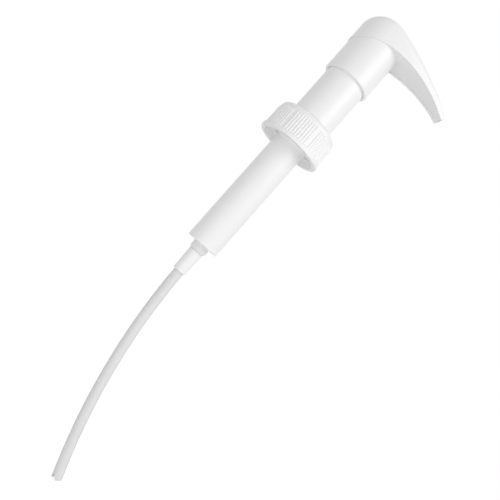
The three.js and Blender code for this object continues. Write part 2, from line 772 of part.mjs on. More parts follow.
// Everything above the cover's lower edge, raised by an amount, and behind the sloping tip
function aboveEdge(raise) {
  const tip = [BEAK_REACH, topHeight(BEAK_REACH)];
  const slope = (tip[1] - underHeight(tipLowX)) / (tip[0] - tipLowX);
  const high = coverTop + COVER_HEIGHT;
  return slice([
    [-2 * coverR, seam + raise],
    [underStart, seam + raise],
    ...stations(underStart, tipLowX).slice(1).map((x) => [x, underHeight(x) + raise]),
    [tip[0] + (high - tip[1]) / slope, high],
    [-2 * coverR, high],
  ], 2 * coverR);
}

// Shell over the head and the beak's back and sides, open below and at the tip
function headCover() {
  return headForm(0).subtract(headForm(COVER_WALL)).intersect(aboveEdge(0));
}

// Skirt, ceiling and boss. Its top plugs into the cover as far as the start of the beak
function headBody() {
  const bossR = stemHoleR + BOSS_WALL;
  const bossBottom = ceiling - BOSS_LENGTH;
  const plug = headForm(COVER_WALL + SEAT);
  const skirt = turned([
    [0, skirtRim],
    [skirtR - EDGE, skirtRim],
    [skirtR, skirtRim + EDGE],
    [skirtR, headPlateTop],
    [0, headPlateTop],
  ], FINE).subtract(aboveEdge(-SEAT).subtract(plug));
  const reach = block([-coverR, -coverR, seam], [skirtR, coverR, headPlateTop]);
  const bore = turned([
    [0, skirtRim - EDGE],
    [skirtInnerR + EDGE, skirtRim - EDGE],
    [skirtInnerR, skirtRim + EDGE],
    [skirtInnerR, ceiling],
    [0, ceiling],
  ], FINE);
  const boss = turned([
    [0, bossBottom],
    [bossR - EDGE, bossBottom],
    [bossR, bossBottom + EDGE],
    [bossR, ceiling + HEAD_PLATE / 2],
    [0, ceiling + HEAD_PLATE / 2],
  ]);
  return skirt
    .add(plug.intersect(aboveEdge(SEAT)).intersect(reach))
    .subtract(bore)
    .add(boss)
    .subtract(cylinder(stemHoleR, bossBottom - EDGE, headPlateTop + EDGE));
}

// Trough from the boss to the tip, closed by the cover's roof. Its floor is the beak's underside
function spoutChannel() {
  const roof = (x) => topHeight(x) - COVER_WALL - SEAT;
  const floor = (x) => underHeight(x) + CHANNEL_RECESS;
  const run = stations(channelStart, channelEnd);
  const whole = stations(0, channelEnd).reverse();
  const outer = slice([
    [0, channelFloor],
    [channelStart, channelFloor],
    ...run.map((x) => [x, floor(x)]),
    ...whole.map((x) => [x, roof(x)]),
  ], CHANNEL_HALF_WIDTH);
  const inner = slice([
    [0, channelFloor + CHANNEL_FLOOR],
    [channelStart + CHANNEL_FLOOR, channelFloor + CHANNEL_FLOOR],
    ...run.slice(1).map((x) => [x, floor(x) + CHANNEL_FLOOR]),
    [channelEnd + 5, floor(channelEnd + 5) + CHANNEL_FLOOR],
    [channelEnd + 5, coverTop],
    [0, coverTop],
  ], CHANNEL_HALF_WIDTH - CHANNEL_WALL);
  const underside = slice([
    ...run.map((x) => [x, floor(x)]),
    ...run.reverse().map((x) => [x, floor(x) + CHANNEL_FLOOR]),
  ], coverR).intersect(headForm(COVER_WALL + SEAT));
  return outer
    .add(cylinder(CHANNEL_HALF_WIDTH, channelFloor, roof(0)))
    .subtract(inner)
    .subtract(cylinder(CHANNEL_HALF_WIDTH - CHANNEL_WALL, channelFloor + CHANNEL_FLOOR, coverTop))
    .add(cylinder(STEM_R, channelFloor - CHANNEL_PLUG, channelFloor + CHANNEL_FLOOR / 2))
    .subtract(cylinder(stemBoreR, channelFloor - 2 * CHANNEL_PLUG, coverTop))
    .add(underside);
}

// Finishes
function finish(color, roughness, metalness = 0) {
  return () => new THREE.MeshStandardMaterial({ color, roughness, metalness });
}

const white = finish(0xf3f3f1, 0.36);
const natural = finish(0xdfe2e0, 0.42);
const steel = finish(0xc4c6c8, 0.24, 1);
const foam = finish(0xe6e6e2, 0.85);
const milky = finish(0xe9ebea, 0.45);

const pieces = {
  closure: [closure, white],
  gasket: [gasket, foam],
  barrel: [barrel, white],
  guide_sleeve: [guideSleeve, white],
  stem_guide: [stemGuide, white],
  stem_seal: [stemSeal, milky],
  return_spring: [returnSpring, steel],
  inlet_ball: [() => ball(INLET_BALL_R, inletBallZ()), steel],
  inlet_cage: [inletCage, milky],
  tube_connector: [tubeConnector, white],
  dip_tube: [dipTube, natural],
  piston_seal: [pistonSeal, milky],
  piston_foot: [pistonFoot, white],
  outlet_ball: [() => ball(OUTLET_BALL_R, outletBallZ()), steel],
  stem: [stem, white],
  head_body: [headBody, white],
  spout_channel: [spoutChannel, white],
  head_cover: [headCover, white],
};

const pump = new THREE.Group();
pump.name = "dispensing_pump";
for (const [name, [make, material]] of Object.entries(pieces)) {
  const mesh = new THREE.Mesh(geometryOf(make()), material());
  mesh.name = name;
  pump.add(mesh);
}

export default pump;
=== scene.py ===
"""Looks of the canister dispensing pump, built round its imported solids.

Sizes here are millimetres: (radius, height) from the pump's axis for turned pieces, (x, y, z) for the
rest. The beak points along +X, and height zero is the rim of the canister's neck. The helpers turn
them into metres.
"""
import math

import bmesh
import bpy
import numpy as np
from mathutils import Matrix, Vector


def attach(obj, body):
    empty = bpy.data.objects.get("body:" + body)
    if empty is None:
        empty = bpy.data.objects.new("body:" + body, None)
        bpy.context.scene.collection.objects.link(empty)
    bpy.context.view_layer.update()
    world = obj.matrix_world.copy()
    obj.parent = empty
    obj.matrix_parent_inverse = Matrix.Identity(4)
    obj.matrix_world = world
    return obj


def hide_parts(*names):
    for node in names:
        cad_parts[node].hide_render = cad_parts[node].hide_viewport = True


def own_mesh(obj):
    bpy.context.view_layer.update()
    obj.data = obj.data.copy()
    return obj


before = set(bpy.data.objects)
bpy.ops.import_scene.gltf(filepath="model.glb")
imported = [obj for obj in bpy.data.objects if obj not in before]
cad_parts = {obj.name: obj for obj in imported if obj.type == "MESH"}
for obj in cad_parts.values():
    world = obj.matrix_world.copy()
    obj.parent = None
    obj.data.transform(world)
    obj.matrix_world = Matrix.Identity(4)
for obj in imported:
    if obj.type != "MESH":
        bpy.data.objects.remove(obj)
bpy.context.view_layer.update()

MM = 0.001
TURN = 2 * math.pi
SEAT = 0.3  # between two pieces that rest on or plug into each other

# Closure
CLOSURE_BOTTOM = -16.7
CLOSURE_TOP = 8.2
PLATE_UNDER = 6.5
BEAD_TOP = -12.35
BEAD_SLOPE = 1.2
BEAD_R = 27.15
WALL_R = 25.35
INSIDE_R = 23.35
SHOULDER = 5.2  # radius of the rounding between wall and plate
PLATE_GAP = 0.06  # between the plate and the sleeve
RIB_R = 26.15
RIB_END = 3.5
RIB_FADE = 2.0  # height over which a rib dies out
RIB_SINK = 0.03  # how far a rib's foot lies in the wall
RIB_ROOT = 0.7  # how deep its body goes into the wall
RIB_GROUPS = 7
RIBS_PER_GROUP = 9
RIB_START = math.radians(-70.9)
THREAD_LOW = -10.8
THREAD_HIGH = -3.0

# Sleeve, barrel and connector
FLANGE_R = 22.15
FLANGE_LOW = 2.1
FLANGE_TOP = 4.1
SLEEVE_R = 17.25
SLEEVE_BORE_R = 15.65
SLEEVE_BOTTOM = 4.4
SLEEVE_FLANGE_TOP = 6.2
SLEEVE_TOP = 56.0
BARREL_R = 13.4
BORE_R = 11.6
COLLAR_R = 15.35
COLLAR_TOP = 10.0
SNAP = 0.6  # height of the snap beads
SNAP_Z = 7.05
VENT_R = 1.0
VENT_Z = -13.4
VENT_BAND = (-15.6, -11.2)  # rings in the wall below and above the vent
BARREL_BOTTOM = -115.6
FLOOR_TOP = -113.6
INLET_CONE = 1.0  # depth of the inlet seat
SPIGOT_R = 6.9
SPIGOT_BORE_R = 5.4
SPIGOT_BOTTOM = -122.0
SPIGOT_TAPER = 1.6
CONNECTOR_R = 5.5
CONNECTOR_TOP_R = 5.85
CONNECTOR_BOTTOM = -141.5
PLUG_BORE_R = 3.7

# Dip tube
TUBE_TOP = -124.0
TUBE_R = 4.2
TUBE_BORE_R = 3.1
TUBE_LENGTH = 194.0
TUBE_STRAIGHT = 7.6
TUBE_BEND_R = 513.0
NOTCH_DEPTH = 3.8
NOTCH_HALF_WIDTH = 2.7
NOTCH_TURN = math.radians(225)

# Stem, piston and valves
STEM_R = 5.5
STEM_HOLE_R = 5.8
STEM_BORE_R = 3.6
STEM_BOTTOM = -25.2
STEM_TOP = 91.6
STEM_COLLAR = (-8.3, -6.8)
SOCKET_FLOOR = -25.5
SEAL_BOTTOM = 12.6
FOOT_R = 7.2
INLET_HOLE_R = 3.1
INLET_BALL_R = 4.0
INLET_BALL_Z = FLOOR_TOP - INLET_CONE + math.sqrt(INLET_BALL_R ** 2 - INLET_HOLE_R ** 2) + SEAT
OUTLET_SEAT = -28.5
OUTLET_HOLE_R = 2.2
OUTLET_BALL_R = 2.9
OUTLET_BALL_Z = OUTLET_SEAT + math.sqrt(OUTLET_BALL_R ** 2 - OUTLET_HOLE_R ** 2) + SEAT
VALVE_LIFT = 3.0

# Spring
SPRING_R = 8.8
WIRE_R = 0.8
SPRING_TURNS = 16
SPRING_BOTTOM = -104.3
SPRING_TOP = -20.5

# Head. Pairs are (place along the beak, height).
SKIRT_R = 19.75
SKIRT_BORE_R = 17.5
SKIRT_RIM = 51.2
CEILING = 91.3
PLATE_TOP = 93.3
BOSS_BOTTOM = 65.3
BOSS_R = 8.0
COVER_R = 20.45
COVER_TOP = 106.0
COVER_WALL = 1.4
COVER_CROWN = 0.8  # how far the top's middle stands above its edges
COVER_LIP = 0.28  # rounding of the cover's lower edge
SEAM_GAP = 0.05
BEAK_REACH = 76.25
TIP_LOW = (74.3, 78.6)
TIP_TOP = (BEAK_REACH, 82.3)
TIP_BLEND = 60  # from here on the columns lean back to the tip's cut
CREST = (27.5, 89.5)  # highest place of the beak's underside
FLOOR_RECESS = 1.0
FLOOR_THICKNESS = 1.2
CHANNEL_END = 74.0
TROUGH_HALF = 5.2
TROUGH_WALL = 1.1
ROUND_PLACES = (-COVER_R, -10, 0, 20, 50, BEAK_REACH)
ROUNDINGS = (11.0, 6.5, 4.6, 6.5, 5.0, 1.6)  # between side and top, at those places
CROWN_STEPS = 7
SHOULDER_STEPS = 7
WALL_STEPS = 9

# Stage
FLOOR_Z = -316.5
FLOOR_HALF = 60  # in metres
FLOOR_GLOW = 0.56
WORLD_LIGHT = 0.565


# Meshes. A shape is a pair: its points in millimetres, and its faces.
def joined(*shapes):
    """Several shapes as one."""
    points, faces = [], []
    for more_points, more_faces in shapes:
        faces += [tuple(k + len(points) for k in face) for face in more_faces]
        points += list(more_points)
    return points, faces


def mesh_of(name, shape, sharp=35):
    """A closed mesh in metres, facing out, smooth except at edges sharper than this."""
    points, faces = shape
    mesh = bpy.data.meshes.new(name)
    mesh.from_pydata([tuple(MM * v for v in p) for p in points], [], faces)
    work = bmesh.new()
    work.from_mesh(mesh)
    bmesh.ops.remove_doubles(work, verts=work.verts, dist=0.001 * MM)
    bmesh.ops.dissolve_degenerate(work, edges=work.edges, dist=0.0005 * MM)
    bmesh.ops.recalc_face_normals(work, faces=work.faces)
    work.to_mesh(mesh)
    work.free()
    smooth(mesh, sharp)
    return mesh


def smooth(mesh, sharp=35):
    mesh.shade_smooth()
    mesh.set_sharp_from_angle(angle=math.radians(sharp))


def piece(name, shape, material, body, slot, replaced=()):
    """A piece of the pump that rides on a body and stands for nodes of the solid model."""
    obj = new_object(name, mesh_of(name, shape) if isinstance(shape, tuple) else shape, material)
    return fitted(obj, body, slot, replaced)


def new_object(name, mesh, material):
    obj = bpy.data.objects.new(name, mesh)
    bpy.context.scene.collection.objects.link(obj)
    mesh.materials.clear()
    mesh.materials.append(material)
    return obj


def fitted(obj, body, slot, replaced=()):
    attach(obj, body)
    if replaced:
        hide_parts(*replaced)
    return obj


def cut_away(mesh, *cutters):
    """The mesh without what the cutters' shapes take from it."""
    obj = bpy.data.objects.new("cut", mesh)
    bpy.context.scene.collection.objects.link(obj)
    tools = []
    for shape in cutters:
        tool = bpy.data.objects.new("cutter", mesh_of("cutter", shape))
        bpy.context.scene.collection.objects.link(tool)
        modifier = obj.modifiers.new("cut", "BOOLEAN")
        modifier.operation = "DIFFERENCE"
        modifier.solver = "EXACT"
        modifier.object = tool
        tools.append(tool)
    result = plain_mesh(obj)
    for other in [obj, *tools]:
        bpy.data.objects.remove(other)
    smooth(result)
    return result


def plain_mesh(obj):
    """What an object's modifiers make of it, as a mesh of its own."""
    graph = bpy.context.evaluated_depsgraph_get()
    return bpy.data.meshes.new_from_object(obj.evaluated_get(graph))


def section(*corners, steps=5):
    """A closed outline from (radius, height, rounding) corners. Beside each rounding stands a guard
    point, so that the flat walls next to it stay flat in the light."""
    outline = []
    for k, corner in enumerate(corners):
        before, after = Vector(corners[k - 1][:2]), Vector(corners[(k + 1) % len(corners)][:2])
        radius = corner[2] if len(corner) > 2 else 0
        outline += corner_points(before, Vector(corner[:2]), after, radius, steps)
    return outline


def corner_points(before, corner, after, radius, steps):
    """Points of one corner's rounding, which takes less than half of either wall."""
    to_before, to_after = before - corner, after - corner
    angle = to_before.angle(to_after)
    if radius == 0 or angle > math.radians(176):
        return [tuple(corner)]
    room = 0.42 * min(to_before.length, to_after.length)
    reach = min(radius / math.tan(angle / 2), room)
    radius = reach * math.tan(angle / 2)
    to_before.normalize()
    to_after.normalize()
    middle = corner + (to_before + to_after).normalized() * (radius / math.sin(angle / 2))
    first, last = corner + to_before * reach - middle, corner + to_after * reach - middle
    sweep = math.pi - angle
    arc = []
    for k in range(steps + 1):
        share = k / steps
        mixed = first * math.sin((1 - share) * sweep) + last * math.sin(share * sweep)
        arc.append(middle + mixed / math.sin(sweep))
    guard = min(0.25, 0.12 * room)
    return [tuple(p) for p in (arc[0] + to_before * guard, *arc, arc[-1] + to_after * guard)]


def turned(outline, sides=144):
    """A closed outline of (radius, height) turned about the pump's axis."""
    points = []
    for k in range(sides):
        turn = TURN * k / sides
        points += [(r * math.cos(turn), r * math.sin(turn), z) for r, z in outline]
    return points, ring_faces(sides, len(outline))


def ring_faces(columns, rows, closed=True):
    """Faces between columns of points, each column a closed ring."""
    faces = []
    for a in range(columns if closed else columns - 1):
        b = (a + 1) % columns
        for j in range(rows):
            i = (j + 1) % rows
            faces.append((a * rows + j, b * rows + j, b * rows + i, a * rows + i))
    return faces


def lofted(rings):
    """A closed body through rings of points, with a lid at both ends."""
    count, rows = len(rings), len(rings[0])
    points = [tuple(p) for ring in rings for p in ring]
    faces = ring_faces(count, rows, closed=False)
    faces.append(tuple(range(rows)))
    faces.append(tuple((count - 1) * rows + j for j in reversed(range(rows))))
    return points, faces


def block(low, high):
    """A plain block between two corners, to cut with or to add as a rib."""
    (x0, y0, z0), (x1, y1, z1) = low, high
    return lofted([[(x, y0, z0), (x, y1, z0), (x, y1, z1), (x, y0, z1)] for x in (x0, x1)])


def swung(shape, degrees):
    """A shape turned about the axis."""
    cos, sin = math.cos(math.radians(degrees)), math.sin(math.radians(degrees))
    points, faces = shape
    return [(cos * x - sin * y, sin * x + cos * y, z) for x, y, z in points], faces


def lerp(a, b, share):
    return a + (b - a) * share


def smoothstep(share):
    share = min(1.0, max(0.0, share))
    return share * share * (3 - 2 * share)


# Geometry node trees
class Tree:
    """A geometry node tree with named inputs, which ends in Realize Instances and Set Material."""

    def __init__(self, name, inputs):
        self.nodes = bpy.data.node_groups.new(name, "GeometryNodeTree")
        face = self.nodes.interface
        face.new_socket("Geometry", in_out="INPUT", socket_type="NodeSocketGeometry")
        face.new_socket("Geometry", in_out="OUTPUT", socket_type="NodeSocketGeometry")
        for label, kind in inputs:
            face.new_socket(label, in_out="INPUT", socket_type=f"NodeSocket{kind}")
        self.given = self.nodes.nodes.new("NodeGroupInput").outputs

    def add(self, kind, values=None, **settings):
        return add_node(self.nodes, kind, values, **settings)

    def calc(self, operation, *values):
        return self.add("ShaderNodeMath", dict(enumerate(values)), operation=operation).outputs[0]

    def end(self, geometry):
        smoothed = self.add("GeometryNodeSetShadeSmooth", {"Geometry": geometry})
        real = self.add("GeometryNodeRealizeInstances", {"Geometry": smoothed.outputs[0]})
        coated = self.add("GeometryNodeSetMaterial", {
            "Geometry": real.outputs[0], "Material": self.given["Material"],
        })
        self.nodes.links.new(coated.outputs[0], self.nodes.nodes.new("NodeGroupOutput").inputs[0])

    def grown(self, name, mesh, values, sharp=35):
        """The plain mesh that the tree makes of a mesh with these values for its inputs."""
        obj = bpy.data.objects.new(name, mesh)
        bpy.context.scene.collection.objects.link(obj)
        modifier = obj.modifiers.new(self.nodes.name, "NODES")
        modifier.node_group = self.nodes
        for item in self.nodes.interface.items_tree:
            if item.in_out == "INPUT" and item.name in values:
                modifier[item.identifier] = values[item.name]
        result = plain_mesh(obj)
        obj.modifiers.remove(modifier)
        bpy.data.objects.remove(obj)
        smooth(result, sharp)
        result.name = name
        return result


def add_node(tree, kind, values=None, **settings):
    """A node with its settings, and a value or a link for each named or numbered input."""
    node = tree.nodes.new(kind)
    for key, value in settings.items():
        setattr(node, key, value)
    for key, value in (values or {}).items():
        if isinstance(value, bpy.types.NodeSocket):
            tree.links.new(value, node.inputs[key])
        else:
            node.inputs[key].default_value = value
    return node


def rib_tree():
    """Repeats one grip rib round the closure, in groups that each leave the place of one more plain."""
    tree = Tree("grip ribs", [
        ("Material", "Material"), ("Groups", "Int"), ("Ribs per group", "Int"), ("Start", "Float"),
    ])
    given = tree.given
    places = tree.calc("ADD", given["Ribs per group"], 1.0)
    count = tree.calc("MULTIPLY", places, given["Groups"])
    spots = tree.add("GeometryNodePoints", {"Count": count})
    index = tree.add("GeometryNodeInputIndex").outputs[0]
    kept = tree.calc("GREATER_THAN", tree.calc("MODULO", index, places), 0.5)
    pitch = tree.calc("DIVIDE", TURN, count)
    turn = tree.calc("MULTIPLY_ADD", index, pitch, given["Start"])
    direction = tree.add("ShaderNodeCombineXYZ", {"Z": turn})
    rotation = tree.add("FunctionNodeEulerToRotation", {0: direction.outputs[0]})
    ribs = tree.add("GeometryNodeInstanceOnPoints", {
        "Points": spots.outputs[0],
        "Selection": kept,
        "Instance": given["Geometry"],
        "Rotation": rotation.outputs[0],
    })
    tree.end(ribs.outputs[0])
    return tree


def helix_tree():
    """A wire or thread on a helix. Its ends can close up to an even turn, and can sink into the wall."""
    tree = Tree("helix", [
        ("Material", "Material"), ("Turns", "Float"), ("Radius", "Float"), ("Low", "Float"),
        ("High", "Float"), ("Closed rise", "Float"), ("Sink", "Float"), ("Fade", "Float"),
        ("Half width", "Float"), ("Half height", "Float"), ("Steps per turn", "Float"), ("Sides", "Int"),
    ])
    given, calc = tree.given, tree.calc
    line = tree.add("GeometryNodeCurvePrimitiveLine")
    count = calc("ADD", calc("MULTIPLY", given["Turns"], given["Steps per turn"]), 1.0)
    fine = tree.add("GeometryNodeResampleCurve", {"Curve": line.outputs[0], "Count": count})
    share = tree.add("GeometryNodeSplineParameter").outputs["Factor"]
    turns = calc("MULTIPLY", share, given["Turns"])
    last = calc("SUBTRACT", given["Turns"], 1.0)
    first_rise = calc("MULTIPLY", calc("MINIMUM", turns, 1.0), given["Closed rise"])
    last_rise = calc("MULTIPLY", calc("MAXIMUM", calc("SUBTRACT", turns, last), 0.0), given["Closed rise"])
    closed = calc("MULTIPLY", given["Closed rise"], 2.0)
    free = calc("SUBTRACT", calc("SUBTRACT", given["High"], given["Low"]), closed)
    open_turns = calc("SUBTRACT", given["Turns"], 2.0)
    between = calc("MAXIMUM", calc("MINIMUM", calc("SUBTRACT", turns, 1.0), open_turns), 0.0)
    middle_rise = calc("MULTIPLY", calc("DIVIDE", free, open_turns), between)
    height = calc("ADD", calc("ADD", given["Low"], first_rise), calc("ADD", middle_rise, last_rise))
    from_end = calc("MINIMUM", turns, calc("SUBTRACT", given["Turns"], turns))
    faded = calc("SUBTRACT", 1.0, calc("MINIMUM", calc("DIVIDE", from_end, given["Fade"]), 1.0))
    radius = calc("ADD", given["Radius"], calc("MULTIPLY", faded, given["Sink"]))
    angle = calc("MULTIPLY", turns, TURN)
    place = tree.add("ShaderNodeCombineXYZ", {
        "X": calc("MULTIPLY", calc("COSINE", angle), radius),
        "Y": calc("MULTIPLY", calc("SINE", angle), radius),
        "Z": height,
    })
    helix = tree.add("GeometryNodeSetPosition", {"Geometry": fine.outputs[0], "Position": place.outputs[0]})
    upright = tree.add("GeometryNodeSetCurveNormal", {"Curve": helix.outputs[0]}, mode="Z_UP")
    ring = tree.add("GeometryNodeCurvePrimitiveCircle", {"Resolution": given["Sides"], "Radius": 1.0})
    size = tree.add("ShaderNodeCombineXYZ", {"X": given["Half width"], "Y": given["Half height"], "Z": 1.0})
    profile = tree.add("GeometryNodeTransform", {"Geometry": ring.outputs[0], "Scale": size.outputs[0]})
    wire = tree.add("GeometryNodeCurveToMesh", {
        "Curve": upright.outputs[0],
        "Profile Curve": profile.outputs[0],
        "Fill Caps": True,
    })
    tree.end(wire.outputs[0])
    return tree


# Finishes
def group_of(name, inputs, outputs):
    tree = bpy.data.node_groups.new(name, "ShaderNodeTree")
    for label, kind in inputs:
        tree.interface.new_socket(label, in_out="INPUT", socket_type=f"NodeSocket{kind}")
    for label, kind in outputs:
        tree.interface.new_socket(label, in_out="OUTPUT", socket_type=f"NodeSocket{kind}")
    return tree, tree.nodes.new("NodeGroupInput").outputs, tree.nodes.new("NodeGroupOutput").inputs


def moulded_group():
    """Skin of a moulded piece: slow clouds in its colour and gloss, and a very fine grain."""
    tree, given, out = group_of("moulded skin", [
        ("Place", "Vector"), ("Colour", "Color"), ("Cloud colour", "Color"), ("Cloud scale", "Float"),
        ("Grain scale", "Float"), ("Grain height", "Float"), ("Roughness", "Float"),
        ("Gloss spread", "Float"),
    ], [("Colour", "Color"), ("Roughness", "Float"), ("Normal", "Vector")])
    clouds = add_node(tree, "ShaderNodeTexNoise", {
        "Vector": given["Place"], "Scale": given["Cloud scale"], "Detail": 3.0, "Roughness": 0.55,
    })
    soft = add_node(tree, "ShaderNodeMapRange", {
        "Value": clouds.outputs["Fac"], "From Min": 0.3, "From Max": 0.7, "To Min": 0.0, "To Max": 1.0,
    }, clamp=True)
    mix = tree.nodes.new("ShaderNodeMix")
    mix.data_type = "RGBA"
    tree.links.new(soft.outputs[0], mix.inputs[0])
    tree.links.new(given["Colour"], mix.inputs[6])
    tree.links.new(given["Cloud colour"], mix.inputs[7])
    grain = add_node(tree, "ShaderNodeTexNoise", {
        "Vector": given["Place"], "Scale": given["Grain scale"], "Detail": 2.0, "Roughness": 0.5,
    })
    spread = add_node(tree, "ShaderNodeMath", {0: clouds.outputs["Fac"], 1: -0.5}, operation="ADD")
    rough = add_node(tree, "ShaderNodeMath", {
        0: spread.outputs[0], 1: given["Gloss spread"], 2: given["Roughness"],
    }, operation="MULTIPLY_ADD")
    bump = add_node(tree, "ShaderNodeBump", {
        "Height": grain.outputs["Fac"], "Distance": given["Grain height"], "Strength": 1.0,
    })
    tree.links.new(mix.outputs[2], out["Colour"])
    tree.links.new(rough.outputs[0], out["Roughness"])
    tree.links.new(bump.outputs[0], out["Normal"])
    return tree


def finish(name, skin, values, on_shader):
    """A material whose skin comes from the shared group, with its even values on the shader itself."""
    material = bpy.data.materials.new(name)
    material.use_nodes = True
    tree = material.node_tree
    principled = tree.nodes["Principled BSDF"]
    for key, value in on_shader.items():
        principled.inputs[key].default_value = value
    place = tree.nodes.new("ShaderNodeTexCoord").outputs["Object"]
    group = tree.nodes.new("ShaderNodeGroup")
    group.node_tree = skin
    tree.links.new(place, group.inputs["Place"])
    for key, value in values.items():
        group.inputs[key].default_value = value
    tree.links.new(group.outputs["Colour"], principled.inputs["Base Color"])
    tree.links.new(group.outputs["Roughness"], principled.inputs["Roughness"])
    tree.links.new(group.outputs["Normal"], principled.inputs["Normal"])
    material.diffuse_color = values["Colour"]
    return material


def grey(level):
    return (level, level, level, 1.0)


# Each finish: its material's name, then colour and cloud colour as greys, cloud scale and grain scale per
# metre, grain height in millimetres, roughness, gloss spread, and what stands on the shader itself.
FINISHES = {
    "head": ("head plastic", 0.94, 0.93, 40.0, 2600.0, 0.012, 0.3, 0.05, {"IOR": 1.5}),
    # Painted shade: the channel's floor is the same white plastic as the head, painted darker for the shade
    # on the beak's underside.
    "channel": ("channel plastic, painted shade", 0.9, 0.88, 40.0, 2600.0, 0.012, 0.32, 0.12, {"IOR": 1.5}),
    "closure": ("closure plastic", 0.945, 0.925, 60.0, 2200.0, 0.016, 0.42, 0.12, {"IOR": 1.5}),
    # Painted light: the closure's inner wall, its thread and the barrel inside the closure are painted
    # lighter than the outside, against the shade in the closure's hollow.
    "closure_inside_painted_light": (
        "closure plastic, inner wall, painted light", 0.985, 0.97, 60.0, 2200.0, 0.016, 0.5, 0.12, {"IOR": 1.5},
    ),
    "barrel": ("barrel plastic", 0.94, 0.93, 28.0, 2600.0, 0.01, 0.3, 0.06, {"IOR": 1.5}),
    # Painted shade: the spigot and the closure's underside are painted grey for the shade under the barrel's
    # end and under the closure.
    "spigot": ("grey plastic, painted shade", 0.86, 0.85, 28.0, 2600.0, 0.01, 0.35, 0.06, {"IOR": 1.5}),
    "tube": (
        "tube plastic", 0.875, 0.86, 55.0, 1500.0, 0.02, 0.8, 0.1, {"Transmission Weight": 0.1, "IOR": 1.51},
    ),
    "seal": ("milky seal plastic", 0.8, 0.77, 90.0, 1800.0, 0.02, 0.45, 0.1, {}),
    "foam": ("foam gasket", 0.96, 0.93, 400.0, 1400.0, 0.12, 0.9, 0.1, {}),
    "steel": ("drawn steel", 0.58, 0.5, 220.0, 2400.0, 0.012, 0.24, 0.12, {"Metallic": 1.0}),
}


def make_finishes():
    skin = moulded_group()
    finishes = {}
    for key, (name, colour, cloud, cloud_scale, grain_scale, grain, rough, spread, own) in FINISHES.items():
        finishes[key] = finish(name, skin, {
            "Colour": grey(colour), "Cloud colour": grey(cloud), "Cloud scale": cloud_scale,
            "Grain scale": grain_scale, "Grain height": grain * MM, "Roughness": rough,
            "Gloss spread": spread,
        }, own)
    return finishes


# Closure
def closure_shell():
    """Plate, wall and beaded rim in one."""
    return turned(section(
        (INSIDE_R, CLOSURE_BOTTOM, 0.35), (BEAD_R, CLOSURE_BOTTOM, 0.7), (BEAD_R, BEAD_TOP - BEAD_SLOPE, 0.8),
        (WALL_R, BEAD_TOP, 0.5), (WALL_R, CLOSURE_TOP, SHOULDER), (SLEEVE_R + PLATE_GAP, CLOSURE_TOP, 0.2),
        (SLEEVE_R + PLATE_GAP, PLATE_UNDER, 0.2), (INSIDE_R, PLATE_UNDER, 1.5), steps=8,
    ), 224)


def coat(obj, material, reach, low, high):
    """Gives a piece's faces within a reach of the axis, and between two heights, a finish of their own."""
    obj.data.materials.append(material)
    slot = len(obj.data.materials) - 1
    for face in obj.data.polygons:
        if face.center.xy.length / MM < reach and low < face.center.z / MM < high:
            face.material_index = slot


def grip_rib():
    """One rib at the +X side: a rounded ridge that rises from the bead and dies out on the shoulder."""
    pitch = TURN / (RIB_GROUPS * (RIBS_PER_GROUP + 1))
    shoulder_z = CLOSURE_TOP - SHOULDER
    drops = (2.5, 2.0, 1.5, 1.0, 0.6, 0.25, 0.0)

    def spot(radius, share, z):
        return radius * math.cos(share * pitch), radius * math.sin(share * pitch), z

    rings = []
    for z in (BEAD_TOP - BEAD_SLOPE + 0.1, -6, 0, *(RIB_END - drop for drop in drops)):
        rise = max(0.0, z - shoulder_z)
        wall = WALL_R - SHOULDER + math.sqrt(SHOULDER ** 2 - rise ** 2)
        faded = max(0.0, (z - RIB_END + RIB_FADE) / (RIB_FADE - 0.1))
        height = (RIB_R - WALL_R) * math.sqrt(max(0.0, 1 - faded ** 2))
        ring = []
        for k in range(-9, 10):
            level = (0.5 + 0.5 * math.cos(TURN * k / 18)) ** 1.5
            ring.append(spot(wall + height * level - RIB_SINK, k / 18, z))
        ring += [spot(wall - RIB_ROOT, share, z) for share in (0.5, -0.5)]
        rings.append(ring)
    return lofted(rings)


# Barrel, sleeve, connector, tube
def barrel_mesh():
    """Cylinder with its flange, snap beads, spigot, inlet seat and vent hole."""
    body = turned(section(
        (INLET_HOLE_R, FLOOR_TOP - INLET_CONE, 0.1), (INLET_HOLE_R, BARREL_BOTTOM, 0.1),
        (SPIGOT_BORE_R, BARREL_BOTTOM), (SPIGOT_BORE_R, SPIGOT_BOTTOM, 0.2),
        (CONNECTOR_TOP_R, SPIGOT_BOTTOM, 0.25), (SPIGOT_R, SPIGOT_BOTTOM + SPIGOT_TAPER, 0.5),
        (SPIGOT_R, BARREL_BOTTOM, 0.35), (BARREL_R, BARREL_BOTTOM, 0.7), (BARREL_R, VENT_BAND[0]),
        (BARREL_R, VENT_BAND[1]), (BARREL_R, FLANGE_LOW, 0.5), (FLANGE_R, FLANGE_LOW, 0.3),
        (FLANGE_R, FLANGE_TOP, 0.3), (COLLAR_R, FLANGE_TOP, 0.3), (COLLAR_R, SNAP_Z - SNAP, 0.2),
        (COLLAR_R + SNAP, SNAP_Z, 0.3), (COLLAR_R, SNAP_Z + SNAP, 0.2), (COLLAR_R, COLLAR_TOP, 0.4),
        (BORE_R, COLLAR_TOP, 0.4), (BORE_R, SNAP_Z + SNAP + SEAT, 0.1), (BORE_R + SNAP, SNAP_Z + SEAT, 0.2),
        (BORE_R + SNAP, SNAP_Z - SEAT, 0.2), (BORE_R, SNAP_Z - SNAP - SEAT, 0.1), (BORE_R, VENT_BAND[1]),
        (BORE_R, VENT_BAND[0]), (BORE_R, FLOOR_TOP, 0.6), (INLET_HOLE_R + INLET_CONE, FLOOR_TOP, 0.1),
    ), 144)
    turns = [TURN * k / 32 for k in range(32)]
    vent = lofted([[(VENT_R * math.cos(t), y, VENT_Z + VENT_R * math.sin(t)) for t in turns]
                   for y in (BORE_R - 1.5, BARREL_R + 1.5)])
    return cut_away(mesh_of("barrel", body), vent)


